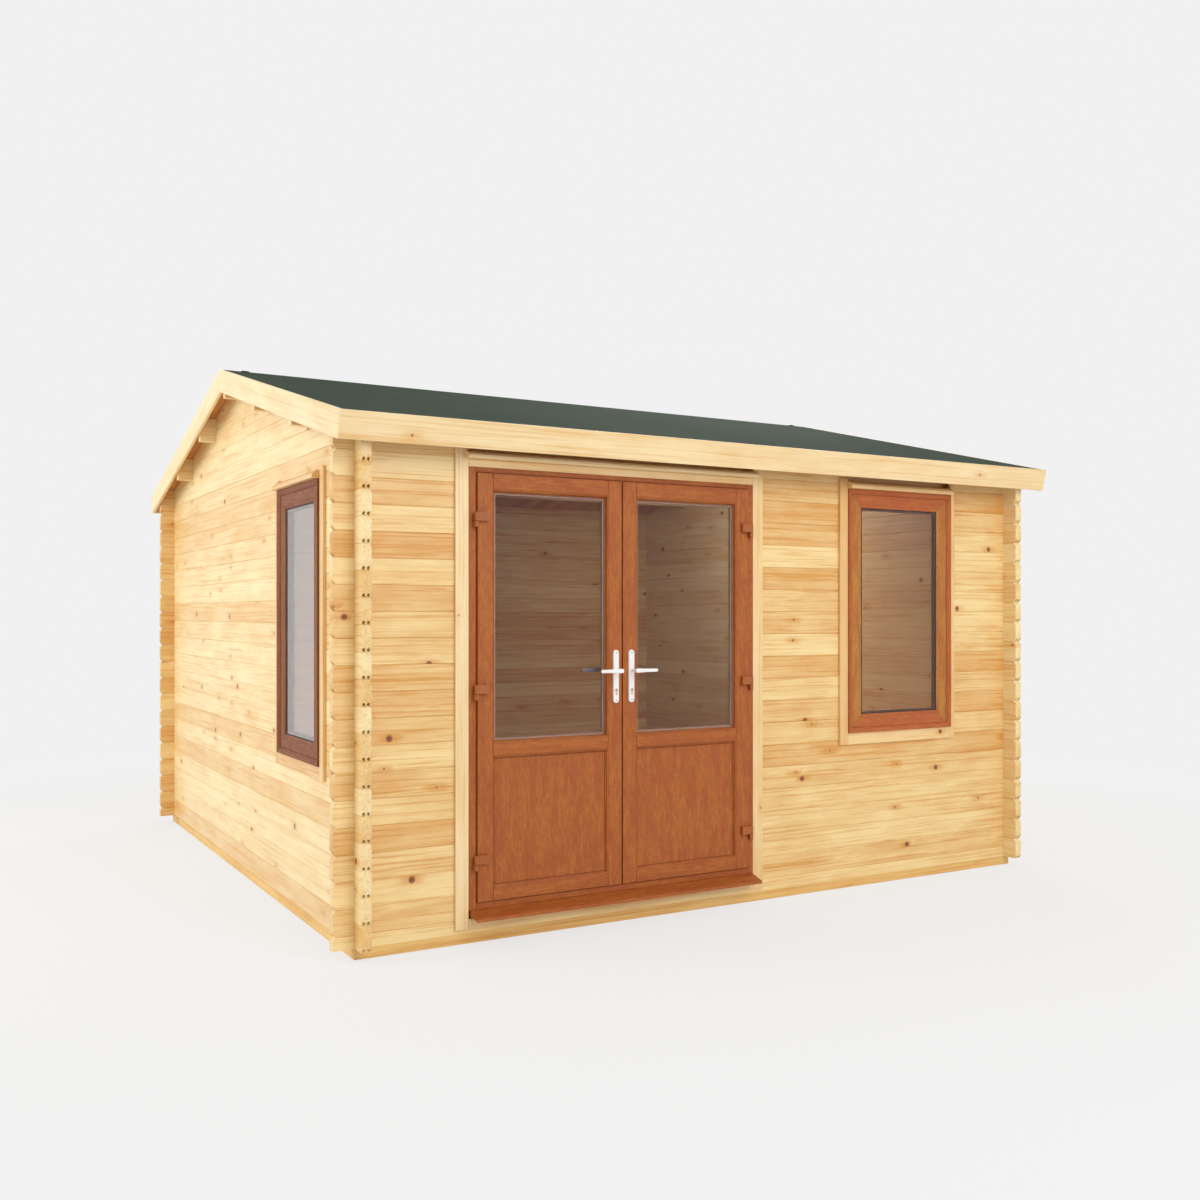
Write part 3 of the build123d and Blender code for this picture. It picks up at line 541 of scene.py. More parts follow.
STEEL = plain_coat("screw_steel", rgb(150, 150, 150), rgb(120, 120, 122), 0.35, 1.0)
NICKEL = plain_coat("lock_nickel", rgb(206, 202, 194), rgb(188, 184, 178), 0.3, 1.0)
BRASS = plain_coat("brass", rgb(206, 158, 84), rgb(188, 140, 70), 0.3, 1.0)


# ---- log walls ---------------------------------------------------------------------------------

def log_section(side_heights):
    """A log's section as (t, h) points from its middle, anticlockwise from the lower right groove.

    side_heights are extra points up each side, where cuts begin and end.
    """
    half_t = LOG_T / 2
    half_h = LOG_H / 2 - COURSE_GAP / 2
    g0, g1 = TONGUE_AT - GROOVE_W / 2, TONGUE_AT + GROOVE_W / 2
    t0, t1 = TONGUE_AT - TONGUE_W / 2, TONGUE_AT + TONGUE_W / 2
    taper = 0.0005
    lean = 0.002
    low = half_h - V_UP
    top = -half_h + GROOVE_DEEP
    right = [(g0, -half_h), (g0 + lean, top), (TONGUE_AT, top + GROOVE_POINT)]
    right += [(g1 - lean, top), (g1, -half_h), (half_t - V_IN, -half_h), (half_t, -low)]
    right += [(half_t, h) for h in sorted(side_heights) if -low < h < low]
    right += [(half_t, low), (half_t - V_IN, half_h), (t1, half_h), (t1 - taper, half_h + TONGUE_H)]
    right += [(t0 + taper, half_h + TONGUE_H), (t0, half_h)]
    return right + [(-t, h) for t, h in reversed(right)]


def cut_back(h):
    """How far a free end is cut back at a height from the log's middle."""
    return END_CUT_L * max(0.0, abs(h) - (LOG_H / 2 - END_CUT_H)) / END_CUT_H


class Wall:
    """One log wall: its logs run along local X, with local Y through its thickness."""

    def __init__(self, centre, sloped_along):
        self.centre = centre              # world place of the wall's middle plane
        self.sloped_along = sloped_along  # a gable, whose top follows the roof along its length
        self.cuts = []                    # (x0, x1, z0, z1) taken out of the wall
        if sloped_along:
            self.place = Matrix(((0, 1, 0, centre), (1, 0, 0, 0), (0, 0, 1, 0), (0, 0, 0, 1)))
        else:
            self.place = Matrix.Translation((0, centre, 0))

    def ceiling(self, x, t):
        """Height of the roof boards' underside over a point."""
        return roof_under(x if self.sloped_along else self.centre + t) - ROOF_GAP

    def spans(self, z):
        """The log centred at z as (x0, x1, low, high) spans from end to end, where any of it is left."""
        bottom, top = z - LOG_H / 2, z + LOG_H / 2 + TONGUE_H
        cuts = [cut for cut in self.cuts if cut[2] < top and cut[3] > bottom]
        reach = REACH
        marks = {-INNER, INNER, -HALF, HALF}
        if self.sloped_along:
            reach = min(reach, (RIDGE_UNDER - LOG_TIP_H - bottom) / SLOPE)
            marks.add(0.0)
        marks |= {-reach, reach}
        for x0, x1, _, _ in cuts:
            marks |= {x0, x1}
        marks = sorted(m for m in marks if abs(m) <= reach)
        found = []
        for x0, x1 in zip(marks, marks[1:]):
            middle = (x0 + x1) / 2
            low, high = max(BEARER_H, bottom), top
            if INNER < abs(middle) < HALF:
                low = max(low, z - LAP + COURSE_GAP)
                high = min(high, z + LAP - COURSE_GAP)
            for c0, c1, z0, z1 in cuts:
                if c0 < middle < c1 and z0 <= bottom + CUT_SLACK:
                    low = max(low, z1)
                elif c0 < middle < c1:
                    high = min(high, z0)
            if high - low > LEAST_LOG_H:
                found.append((x0, x1, low, high))
        return found

    def ring(self, section, x, z, low, high, free):
        """The log's outline at x, held between two heights and under the roof."""
        points = []
        for t, h in section:
            height = max(min(z + h, high, self.ceiling(x, t)), low)
            back = cut_back(height - z) if free else 0.0
            points.append((x - math.copysign(back, x), t, height))
        return points

    def stations(self, section, z, span):
        """Where a span needs rings: its ends and where the roof's line passes the section's points."""
        x0, x1, low, high = span
        xs = {x0, x1}
        if self.sloped_along:
            for height in {z + h for _, h in section} | {low, high}:
                x = (RIDGE_UNDER - ROOF_GAP - height) / SLOPE
                xs |= {v for v in (-x, x) if x0 < v < x1}
        return sorted(xs)

    def log(self, solids, z):
        """The log centred at z, as one solid for each unbroken run of it."""
        spans = self.spans(z)
        heights = {-(LOG_H / 2 - END_CUT_H), LOG_H / 2 - END_CUT_H}
        for _, _, low, high in spans:
            heights |= {low - z, high - z}
        section = log_section(heights)
        run = []
        for k, span in enumerate(spans):
            run.append(span)
            if k + 1 == len(spans) or spans[k + 1][0] > span[1] + CLOSE:
                self.run(solids, section, z, run)
                run = []

    def run(self, solids, section, z, spans):
        """One solid through joined spans, with upright faces where the log's outline changes."""
        count = len(section)
        points, grain, faces = [], [], []
        shift = grain_shift()
        for span in spans:
            _, _, low, high = span
            for x in self.stations(section, z, span):
                free = abs(abs(x) - REACH) < CLOSE
                ring = self.ring(section, x, z, low, high, free)
                base = len(points)
                before = points[-count:]
                points += ring
                grain += [Vector((px, t, pz - z)) + shift for px, t, pz in ring]
                if not before:
                    faces += end_faces(ring, base, z, free)
                elif abs(before[0][0] - x) < CLOSE and not free:
                    faces += step_faces(before, ring, base - count, base)
                else:
                    faces += side_faces(base - count, count)
        faces += end_faces(ring, base, z, free)
        solids.add(points, faces, grain, rng.random())


def end_faces(ring, base, z, free):
    """The faces over a log's end: one, or three where it is cut back at its joints."""
    count = len(ring)
    whole = tuple(range(base, base + count))
    if not free:
        return [whole]
    limit = LOG_H / 2 - END_CUT_H + CLOSE
    upper = [i for i in range(count) if ring[i][2] - z > limit]
    lower = [i for i in range(count) if ring[i][2] - z < -limit]
    faces = []
    middle = list(range(count))
    if upper:
        first, last = upper[0] - 1, upper[-1] + 1
        faces.append(tuple(base + i for i in range(first, last + 1)))
        middle = [i for i in middle if i <= first or i >= last]
    if lower:
        rising = next(i for i in range(count) if i not in lower)
        falling = max(i for i in range(count) if i not in lower)
        faces.append(tuple(base + i % count for i in range(falling, count + rising + 1)))
        middle = [i for i in middle if rising <= i <= falling]
    faces.append(tuple(base + i for i in middle))
    return faces


def step_faces(before, after, base_before, base_after):
    """The upright faces where a log's outline changes at one place along it."""
    count = len(before)
    changed = [abs(a[2] - b[2]) > CLOSE for a, b in zip(before, after)]
    if all(changed) or not any(changed):
        return []
    faces = []
    start = next(i for i in range(count) if not changed[i])
    k = 0
    while k < count:
        if changed[(start + k) % count]:
            first = k
            while changed[(start + k) % count]:
                k += 1
            there = [base_before + (start + m) % count for m in range(first - 1, k + 1)]
            back = [base_after + (start + m) % count for m in range(k - 1, first - 1, -1)]
            faces.append(tuple(there + back))
        k += 1
    return faces


def opening(node, axis, top, bottom=None):
    """What a door or window frame takes out of its wall, as (x0, x1, z0, z1)."""
    low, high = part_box(node)
    return (low[axis] - OPENING_GAP, high[axis] + OPENING_GAP, low.z if bottom is None else bottom, top)


def front_courses():
    """Middles of the front and back walls' logs: the first is half a log, the last a bevelled plate."""
    count = round((FRONT_TOP - BEARER_H) / LOG_H + 0.5)
    return [BEARER_H + LOG_H * k for k in range(count + 1)]


def side_courses():
    """Middles of the gable walls' logs, up to the ridge."""
    least = 0.02                 # what the last log has under the ridge, at the least
    middles = []
    z = BEARER_H + LOG_H / 2
    while z - LOG_H / 2 < RIDGE_UNDER - least:
        middles.append(z)
        z += LOG_H
    return middles


def build_walls():
    """The four walls, each log a solid of its own."""
    front, back = Wall(-WALL_MID, False), Wall(WALL_MID, False)
    left, right = Wall(-WALL_MID, True), Wall(WALL_MID, True)
    front.cuts = [
        opening("door_frame", 0, FRONT_TOP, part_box("door_cill")[0].z),
        opening("front_window_frame", 0, FRONT_TOP),
    ]
    over_window = 0.022          # between the side window's frame and the log above it
    left.cuts = [opening("side_window_frame", 1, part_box("side_window_frame")[1].z + over_window)]
    notch = PURLIN_W / 2 + 0.0005
    for wall in (left, right):
        for y in PURLINS_Y:
            wall.cuts.append((y - notch, y + notch, roof_under(y) - PURLIN_H, RIDGE_TOP))
    front_nodes = ("front_wall_left", "front_wall_under_door", "front_wall_right", "front_wall_plate")
    jobs = [
        ("front_wall_logs", front, front_courses(), LOGS, front_nodes),
        ("back_wall_logs", back, front_courses(), LOGS, ("back_wall",)),
        # The gable walls take the paler copy of the log colour, which is painted sheen.
        ("left_wall_logs", left, side_courses(), SIDE_LOGS_PAINTED_SHEEN, ("left_wall",)),
        ("right_wall_logs", right, side_courses(), SIDE_LOGS_PAINTED_SHEEN, ("right_wall",)),
    ]
    for name, wall, courses, material, nodes in jobs:
        solids = Solids(wall.place)
        for z in courses:
            wall.log(solids, z)
        finish_piece(name, solids, [material], nodes)


# ---- ground frame, floor and roof --------------------------------------------------------------

def build_ground_timbers():
    """Bearers under the walls and joists between them."""
    bearer_w, joists = 0.070, 9
    inside = HALF - bearer_w
    clear = inside - 0.001
    solids = Solids()
    for sign in (-1, 1):
        block(solids, (-HALF, sign * inside, 0), (HALF, sign * HALF, BEARER_H), axis=0)
        block(solids, (sign * inside, -clear, 0), (sign * HALF, clear, BEARER_H), axis=1)
    for n in range(1, joists + 1):
        x = -inside + 2 * inside * n / (joists + 1)
        block(solids, (x - LOG_T / 2, -clear, 0), (x + LOG_T / 2, clear, BEARER_H), axis=1)
    finish_piece("ground_timbers", solids, [SAWN], ("bearer_frame",), 0.0015)


def board_sections(reach, count, plain, face, chamfer):
    """Sections of boards laid side by side from -reach to reach, chamfered on the face that shows."""
    width = 2 * reach / count
    edge = face + math.copysign(chamfer, plain - face)
    for k in range(count):
        a = -reach + width * k + SEAM
        b = a + width - 2 * SEAM
        yield [(a, plain), (b, plain), (b, edge), (b - chamfer, face), (a + chamfer, face), (a, edge)]


def build_floor():
    """Boards along X on the joists, chamfered along their top edges."""
    count, chamfer = 34, 0.0015
    solids = Solids()
    for section in board_sections(INNER, count, BEARER_H, FLOOR_TOP, chamfer):
        prism(solids, section, -INNER, INNER)
    finish_piece("floor_board_set", solids, [FLOOR_BOARDS], ("floor",))


SLOPES = (("front", -1), ("back", 1))


def slope_place(y_sign):
    """Local X across the slope, Y up it from the fascia's outer top corner, Z square out of it."""
    return Matrix((
        (1, 0, 0, 0),
        (0, -y_sign * COS_P, y_sign * SIN_P, y_sign * EAVES_Y),
        (0, SIN_P, COS_P, roof_top(EAVES_Y)),
        (0, 0, 0, 1),
    ))


def to_ridge(n):
    """Distance up the slope to the ridge's centre plane, at height n square to the slope."""
    return (EAVES_Y + n * SIN_P) / COS_P


def up_slope(solids, section, start, ridge_gap, **options):
    """An (x, n) section run up the slope, from start to just short of the ridge's centre plane."""
    low = [(x, start, n) for x, n in section]
    high = [(x, to_ridge(n) - ridge_gap, n) for x, n in section]
    loft(solids, [low, high], axis=1, **options)


def build_roof_boards():
    """Boards down each slope, with V joints below."""
    count, chamfer = 43, 0.003
    for name, y_sign in SLOPES:
        solids = Solids(slope_place(y_sign))
        for section in board_sections(GABLE_X - EDGE_BOARD_T, count, -FELT_T, -FELT_T - DECK_T, chamfer):
            up_slope(solids, section, EDGE_BOARD_T, SEAM)
        finish_piece(f"roof_boards_{name}", solids, [ROOF_BOARDS], (f"roof_deck_{name}",))


def build_felt():
    """A felt sheet up each slope, meeting at the ridge."""
    solids = Solids()
    reach = GABLE_X - EDGE_BOARD_T
    low, high = -FELT_T + 0.0001, -0.0004
    for _, y_sign in SLOPES:
        solids.place = slope_place(y_sign)
        section = [(EDGE_BOARD_T, low), (to_ridge(low), low), (to_ridge(high), high), (EDGE_BOARD_T, high)]
        prism(solids, section, -reach, reach)
    finish_piece("felt_sheets", solids, [FELT], ("roof_felt",))


def build_edge_boards():
    """Fascias along the eaves and barge boards up the gables."""
    bevel = 0.002
    for name, y_sign in SLOPES:
        place = slope_place(y_sign)
        solids = Solids(place)
        block(solids, (-GABLE_X, 0, -FASCIA_W), (GABLE_X, EDGE_BOARD_T, 0), tone=0.4)
        finish_piece(f"fascia_{name}_board", solids, [PLANED], (f"fascia_{name}",), bevel)
        for side, x_sign in (("left", -1), ("right", 1)):
            x0, x1 = sorted((x_sign * GABLE_X, x_sign * (GABLE_X - EDGE_BOARD_T)))
            section = [(x0, 0), (x1, 0), (x1, -BARGE_W), (x0, -BARGE_W)]
            solids = Solids(place)
            up_slope(solids, section, EDGE_BOARD_T + EDGE_GAP, EDGE_GAP, tone=0.2)
            nodes = (f"barge_{side}_{name}",)
            finish_piece(f"barge_{side}_{name}_board", solids, [PLANED], nodes, bevel)


def build_purlins():
    """Ridge and side purlins with bevelled tops."""
    solids = Solids()
    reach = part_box("purlins")[1].x
    for y in PURLINS_Y:
        y0, y1 = y - PURLIN_W / 2, y + PURLIN_W / 2
        base = roof_under(y) - PURLIN_H
        tops = (y1, 0.0, y0) if y == 0 else (y1, y0)
        section = [(y0, base), (y1, base)] + [(v, roof_under(v) - ROOF_GAP) for v in tops]
        prism(solids, section, -reach, reach)
    finish_piece("purlin_beams", solids, [PLANED], ("purlins",), 0.0025)


# ---- trims -------------------------------------------------------------------------------------

def moulding(z0, z1):
    """Head moulding's section as (out, z): flat below, a rounded nose, two steps back to the board."""
    height = z1 - z0
    nose, curve = MOULD_OUT, 0.006
    points = [(SEAM, z0), (nose - curve, z0)] + arc(nose - curve, z0 + curve, curve, -90, 90, 4)
    for back, share in ((0, 0.5), (0.004, 0.5), (0.004, 0.56), (0.010, 0.78), (0.014, 0.78)):
        points.append((nose - back, z0 + share * height))
    return points + [(nose - 0.024, z1), (SEAM, z1)]


def boards(solids, faces, axis, rects):
    """Trim boards over (u0, u1, z0, z1) rectangles, between two distances out from the wall's face."""
    for u0, u1, z0, z1 in rects:
        block(solids, (u0, faces[0], z0), (u1, faces[1], z1), axis=axis)


def build_door_trims():
    """Boards round the doors, outside and inside."""
    u0, u1 = DOOR_LOW.x + HALF, DOOR_HIGH.x + HALF
    low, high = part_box("door_trims")
    width = DOOR_LOW.x - low.x
    head_h, mould_h, overhang, gap = 0.036, 0.034, 0.016, 0.0004
    top = DOOR_HIGH.z
    board_top = FRONT_TOP - 0.010
    foot_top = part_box("door_cill")[0].z - EDGE_GAP
    sides = ((u0 - width, u0 - gap), (u1 + gap, u1 + width))
    solids = Solids(FRONT)
    boards(solids, OUTSIDE, 2, [(a, b, low.z, board_top) for a, b in sides])
    across = ((low.z, foot_top), (top + 0.001, top + head_h))
    boards(solids, OUTSIDE, 0, [(u0 + gap, u1 - gap, z0, z1) for z0, z1 in across])
    finish_piece("door_trim_boards", solids, [PLANED], ("door_trims",), 0.0015)
    solids = Solids(FRONT)
    prism(solids, moulding(top + head_h + gap, top + head_h + mould_h), u0 - overhang, u1 + overhang)
    finish_piece("door_head_moulding", solids, [PLANED], (), 0.0008)
    solids = Solids(FRONT)
    boards(solids, INSIDE, 2, [(a, b, FLOOR_TOP, high.z) for a, b in sides])
    boards(solids, INSIDE, 0, [(u0, u1, top, high.z)])
    finish_piece("door_inside_boards", solids, [PLANED], (), 0.0015)


def build_window_trims(name, place, axis, left_w, right_w):
    """Boards round a window, outside with a head moulding and inside as a plain ring."""
    low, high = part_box(f"{name}_frame")
    u0, u1 = low[axis] + HALF, high[axis] + HALF
    inside_w, drop, rise, mould_h, gap = 0.063, 0.062, 0.052, 0.038, 0.0004
    bottom, top = low.z - drop, high.z + rise
    solids = Solids(place)
    boards(solids, OUTSIDE, 2, [(u0 - left_w, u0 - gap, bottom, top), (u1 + gap, u1 + right_w, bottom, top)])
    boards(solids, OUTSIDE, 0, [(u0 + gap, u1 - gap, bottom, low.z - gap)])
    prism(solids, moulding(high.z + gap, high.z + mould_h), u0 + gap, u1 - gap)
    finish_piece(f"{name}_trim_boards", solids, [TRIM_PINE], (f"{name}_trims",), 0.0012)
    solids = Solids(place)
    bottom, top = low.z - inside_w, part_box(f"{name}_trims")[1].z
    sides = ((u0 - inside_w, u0 - gap), (u1 + gap, u1 + inside_w))
    boards(solids, INSIDE, 2, [(a, b, bottom, top) for a, b in sides])
    boards(solids, INSIDE, 0, [(u0, u1, bottom, low.z), (u0, u1, high.z, top)])
    finish_piece(f"{name}_inside_boards", solids, [PLANED], (), 0.0015)


# ---- frames, sashes and glass ------------------------------------------------------------------

def inset_rect(rect, inset):
    """A (u0, u1, z0, z1) rectangle made smaller all round."""
    u0, u1, z0, z1 = rect
    return (u0 + inset, u1 - inset, z0 + inset, z1 - inset)


def corner_ring(rect, section, right, upper, u_gap, z_gap):
    """An (inset, out) section at one corner of a rectangle, on the mitre."""
    u0, u1, z0, z1 = rect
    ring = []
    for inset, out in section:
        u = u1 - inset - u_gap if right else u0 + inset + u_gap
        z = z1 - inset - z_gap if upper else z0 + inset + z_gap
        ring.append((u, out, z))
    return ring


def ring_of_bars(solids, rect, section, gap=0.0, rail_material=0):
    """Four bars with mitred corners round a rectangle: two stiles, then two rails."""
    for side in (0, 1):
        loft(solids, [corner_ring(rect, section, side, end, 0.0, gap) for end in (0, 1)], axis=2)
    for side in (0, 1):
        rings = [corner_ring(rect, section, end, side, gap, 0.0) for end in (0, 1)]
        loft(solids, rings, axis=0, material=rail_material)


def glass_unit(name, rect, face, glass, spacer, place, body="cabin"):
    """Two panes with a spacer bar between them round the edge."""
    u0, u1, z0, z1 = inset_rect(rect, 0.0005)
    rear = face - GLASS_UNIT_T + PANE_T
    panes = Solids(place)
    for out in (face, rear):
        block(panes, (u0, out - PANE_T, z0), (u1, out, z1), axis=2)
    finish_piece(f"{name}_glazing_panes", panes, [glass], (f"{name}_glass",), body=body)
    bars = Solids(place)
    front, back = face - PANE_T - SEAM, rear + SEAM
    ring_of_bars(bars, rect, [(0.001, front), (0.009, front), (0.009, back), (0.001, back)])
    finish_piece(f"{name}_glazing_spacer", bars, [spacer], body=body)


def gasket_section(inset, out, width, proud=0.0015, depth=0.004):
    """A rubber lip's section against the glass."""
    return [(inset, out - depth), (inset + width, out - depth), (inset + width, out),
            (inset + width * 0.5, out + proud), (inset, out + proud)]


def build_window(name, place, axis, stile_foil, rail_foil, glass):
    """Outer frame, sash with its glazing bead, gasket and glass."""
    low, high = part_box(f"{name}_frame")
    rect = (low[axis] + HALF, high[axis] + HALF, low.z, high.z)
    out, back = 0.025, -0.045                # outer frame's two faces
    sash_out, sash_back = 0.013, -0.033
    rim = 0.028                              # frame that shows round the sash
    flat_end, bead_end = rim + 0.052, rim + 0.074
    glass_face = sash_out - 0.010
    glass_back = glass_face - GLASS_UNIT_T
    mitre, gap = 0.0004, 0.0006
    solids = Solids(place)
    section = [(0, out), (0.013, out), (0.016, out - 0.001), (rim - gap, sash_out + 0.0015),
               (rim - gap, back), (0, back)]
    ring_of_bars(solids, rect, section, 0.0001)
    finish_piece(f"{name}_outer_frame", solids, [rail_foil], (f"{name}_frame",), 0.001)

    bead_start, bead_lip, bead_foot = flat_end + 0.0004, bead_end - 0.004, glass_face + 0.0004
    sections = [
        [(rim, sash_out - 0.001), (rim + 0.001, sash_out), (flat_end, sash_out),
         (flat_end, sash_back), (rim, sash_back)],
        [(bead_start, sash_out - 0.0002), (flat_end + 0.011, sash_out - 0.0010),
         (bead_lip, glass_face + 0.0035), (bead_lip, bead_foot), (bead_start, bead_foot)],
        [(flat_end + gap, glass_back), (bead_end - 0.001, glass_back),
         (flat_end + 0.006, sash_back), (flat_end + gap, sash_back)],
    ]
    solids = Solids(place)
    for section in sections:
        ring_of_bars(solids, rect, section, mitre, rail_material=1)
    nodes = (f"{name}_sash",)
    finish_piece(f"{name}_sash_bars", solids, [stile_foil, rail_foil], nodes, 0.0008)
    solids = Solids(place)
    ring_of_bars(solids, rect, gasket_section(bead_lip, glass_face + SEAM, 0.0055))
    finish_piece(f"{name}_gasket", solids, [GASKET])
    glass_unit(name, inset_rect(rect, bead_end), glass_face, glass, SPACER, place)


def build_door_frame():
    """Jambs, head and threshold with a rebate, and the sloping cill under them."""
    u0, u1 = DOOR_LOW.x + HALF, DOOR_HIGH.x + HALF
    z0, z1 = DOOR_LOW.z, DOOR_HIGH.z
    out, back, stop_out = 0.017, -0.053, -0.033
    jamb, head, threshold, stop = 0.033, 0.020, 0.027, 0.017

    def bar(width):
        """A bar's section as (inset, out), with its stop behind the leaves."""
        far = width + stop
        return [(0, out), (width, out), (width, stop_out), (far, stop_out), (far, back), (0, back)]

    solids = Solids(FRONT)
    for base, sign in ((u0, 1), (u1, -1)):
        upright(solids, [(base + sign * i, o) for i, o in bar(jamb)], z0, z1)
    for base, sign, width in ((z1, -1, head), (z0, 1, threshold)):
        rings = []
        for end, toward in ((u0 + jamb + EDGE_GAP, 1), (u1 - jamb - EDGE_GAP, -1)):
            past_stop = end + toward * stop
            rings.append([(past_stop if o <= stop_out else end, o, base + sign * i) for i, o in bar(width)])
        loft(solids, rings, axis=0)
    finish_piece("door_frame_bars", solids, [DOOR_FOIL], ("door_frame",), 0.0015)

    rebate = (u0 + jamb, u1 - jamb, z0 + threshold, z1 - head)
    foot, lip, shoulder, crest = 0.0001, 0.0042, 0.0125, 0.0145
    seal_back = stop_out + 0.003
    section = [(foot, seal_back), (lip, seal_back), (lip, shoulder), (lip / 2, crest), (foot, crest)]
    solids = Solids(FRONT)
    ring_of_bars(solids, rebate, section)
    finish_piece("door_frame_seal", solids, [SEAL])

    low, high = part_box("door_cill")
    nose = -HALF - low.y
    slope_end, nose_top, nose_low, drip_groove, wall_side = 0.1265, 0.123, 0.112, 0.116, 0.1203   # heights
    section = [
        (back, low.z + 0.008), (back, z0 - EDGE_GAP), (out, z0 - EDGE_GAP), (nose - 0.004, slope_end),
        (nose, nose_top), (nose, nose_low), (nose - 0.007, nose_low), (nose - 0.009, drip_groove),
        (TRIM_T, wall_side),
    ]
    solids = Solids(FRONT)
    prism(solids, section, low.x + HALF, high.x + HALF)
    finish_piece("door_cill_bar", solids, [DOOR_FOIL], ("door_cill",), 0.0012)


class Leaf:
    """Where one door leaf lies, in the front wall's own places."""

    def __init__(self, side):
        self.side = side
        self.sign = -1 if side == "left" else 1
        low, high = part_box(f"{side}_leaf")
        self.u0, self.u1 = low.x + HALF, high.x + HALF
        self.out, self.back = -HALF - low.y, -HALF - high.y
        self.z0, self.z1 = low.z, high.z
        self.body = f"{side}_door"
        self.hinge_u, self.meet_u = (self.u0, self.u1) if side == "left" else (self.u1, self.u0)
        self.glass, self.glass_out = self.filling(f"{side}_door_glass")
        self.panel, self.panel_out = self.filling(f"{side}_door_panel")
        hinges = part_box(f"{side}_door_hinges")
        self.axis_u = (hinges[0].x if side == "left" else hinges[1].x) + HALF - self.sign * KNUCKLE_R
        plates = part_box(f"{side}_handle_plates")
        self.spindle_u = (plates[0].x + plates[1].x) / 2 + HALF
        self.plate_z = (plates[0].z, plates[1].z)
        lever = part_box(f"{side}_lever")
        self.spindle_z = (lever[0].z + lever[1].z) / 2

    def filling(self, node):
        """A glass unit's or panel's rectangle, and how far out its face is."""
        low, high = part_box(node)
        return (low.x + HALF, high.x + HALF, low.z, high.z), -HALF - low.y

    def piece(self, name, solids, materials, slot, node=None, bevel=0.0):
        """Finishes a piece that moves with this leaf, in place of one of its CAD nodes."""
        nodes = (f"{self.side}_{node}",) if node else ()
        finish_piece(f"{self.side}_{name}", solids, materials, nodes, bevel, self.body)


def build_leaf_bars(leaf):
    """Stiles as tall as the leaf and three rails between them, all stepped back for the beads."""
    g, p = leaf.glass, leaf.panel
    out, back, step = leaf.out, leaf.back, leaf.glass_out - EDGE_GAP
    round_in = 0.008             # corner taken off behind, beside the glass
    solids = Solids(FRONT)
    for edge_u, toward, lean in ((leaf.hinge_u, -leaf.sign, 0.0), (leaf.meet_u, leaf.sign, 0.003)):
        inner = g[0] if toward > 0 else g[1]
        front_inner = inner - toward * BEAD_W
        section = [
            (edge_u, out), (front_inner, out), (front_inner, step), (inner, step),
            (inner, back + round_in), (inner - toward * round_in, back), (edge_u + toward * lean, back),
        ]
        upright(solids, section, leaf.z0, leaf.z1, tone=0.5)
    rails = ((g[3], leaf.z1, BEAD_W, 0.0), (p[3], g[2], BEAD_W, BEAD_W), (leaf.z0, p[2], 0.0, BEAD_W))
    for z_low, z_high, bead_low, bead_high in rails:
        front_low, front_high = z_low + bead_low, z_high - bead_high
        section = [
            (out, front_low), (out, front_high), (step, front_high), (step, z_high), (back, z_high),
            (back, z_low), (step, z_low), (step, front_low),
        ]
        rings = []
        for end, toward in ((g[0] + EDGE_GAP, 1), (g[1] - EDGE_GAP, -1)):
            front_end = end - toward * BEAD_W
            rings.append([(front_end if o > step + CLOSE else end, o, z) for o, z in section])
        loft(solids, rings, axis=0, tone=0.5)
    leaf.piece("leaf_bars", solids, [DOOR_FOIL], "oak_foil_upvc", "leaf", 0.0022)


def build_leaf_fillings(leaf):
    """Glass with its gasket, the lower panel, and the beads round both."""
    out = leaf.out
    solids = Solids(FRONT)
    for rect, face in ((leaf.glass, leaf.glass_out), (leaf.panel, leaf.panel_out)):
        start, end = 0.0004, BEAD_W - 0.0008
        foot = max(out - 0.013, face + 0.003)
        section = [
            (start, face + EDGE_GAP), (start, out - 0.0006), (0.0010, out - 0.0002), (0.006, out - 0.0025),
            (0.008, foot), (end, face + 0.002), (end, face + EDGE_GAP),
        ]
        ring_of_bars(solids, inset_rect(rect, -BEAD_W), section, 0.0001)
    leaf.piece("leaf_beads", solids, [DOOR_FOIL], "oak_foil_upvc", bevel=0.0004)
    solids = Solids(FRONT)
    ring_of_bars(solids, leaf.glass, gasket_section(-0.0008, leaf.glass_out + 0.0012, 0.0024, 0.0008, 0.0010))
    leaf.piece("leaf_gasket", solids, [LIGHT_GASKET], "oak_foil_upvc")

    solids = Solids(FRONT)
    u0, u1, z0, z1 = inset_rect(leaf.panel, 0.0006)
    block(solids, (u0, leaf.panel_out - GLASS_UNIT_T, z0), (u1, leaf.panel_out, z1), axis=2, tone=0.55)
    leaf.piece("lower_panel", solids, [DOOR_FOIL], "oak_foil_upvc", "door_panel", 0.001)
    glass_unit(f"{leaf.side}_door", leaf.glass, leaf.glass_out, DOOR_GLASS_PAINTED_SHADE, DOOR_SPACER, FRONT, leaf.body)


# ---- hinges, handles and locks -----------------------------------------------------------------

HINGE_Z = (1.872, 1.106, 0.352)      # joint between each hinge's knuckles
AXIS_OUT = 0.0385
KNUCKLE_R = 0.0105
FLAG_L, FLAG_H, FLAG_T = 0.058, 0.041, 0.018
FRAME_KNUCKLE_H = 0.027
PIN_UP = 0.034
PIN_R = 0.0039
KNUCKLE_SEAM = 0.0005                # half the gap between a hinge's two knuckles


def barrel(solids, u, z0, z1):
    """A hinge knuckle with rounded ends."""
    soft = 0.0025
    ends = ((0.0, soft), (soft * 0.3, soft * 0.3), (soft, 0.0))
    profile = [(z0 + along, KNUCKLE_R - less) for along, less in ends]
    profile += [(z1 - along, KNUCKLE_R - less) for along, less in reversed(ends)]
    lathe(solids, profile, (u, AXIS_OUT), axis=2, tone=0.5)


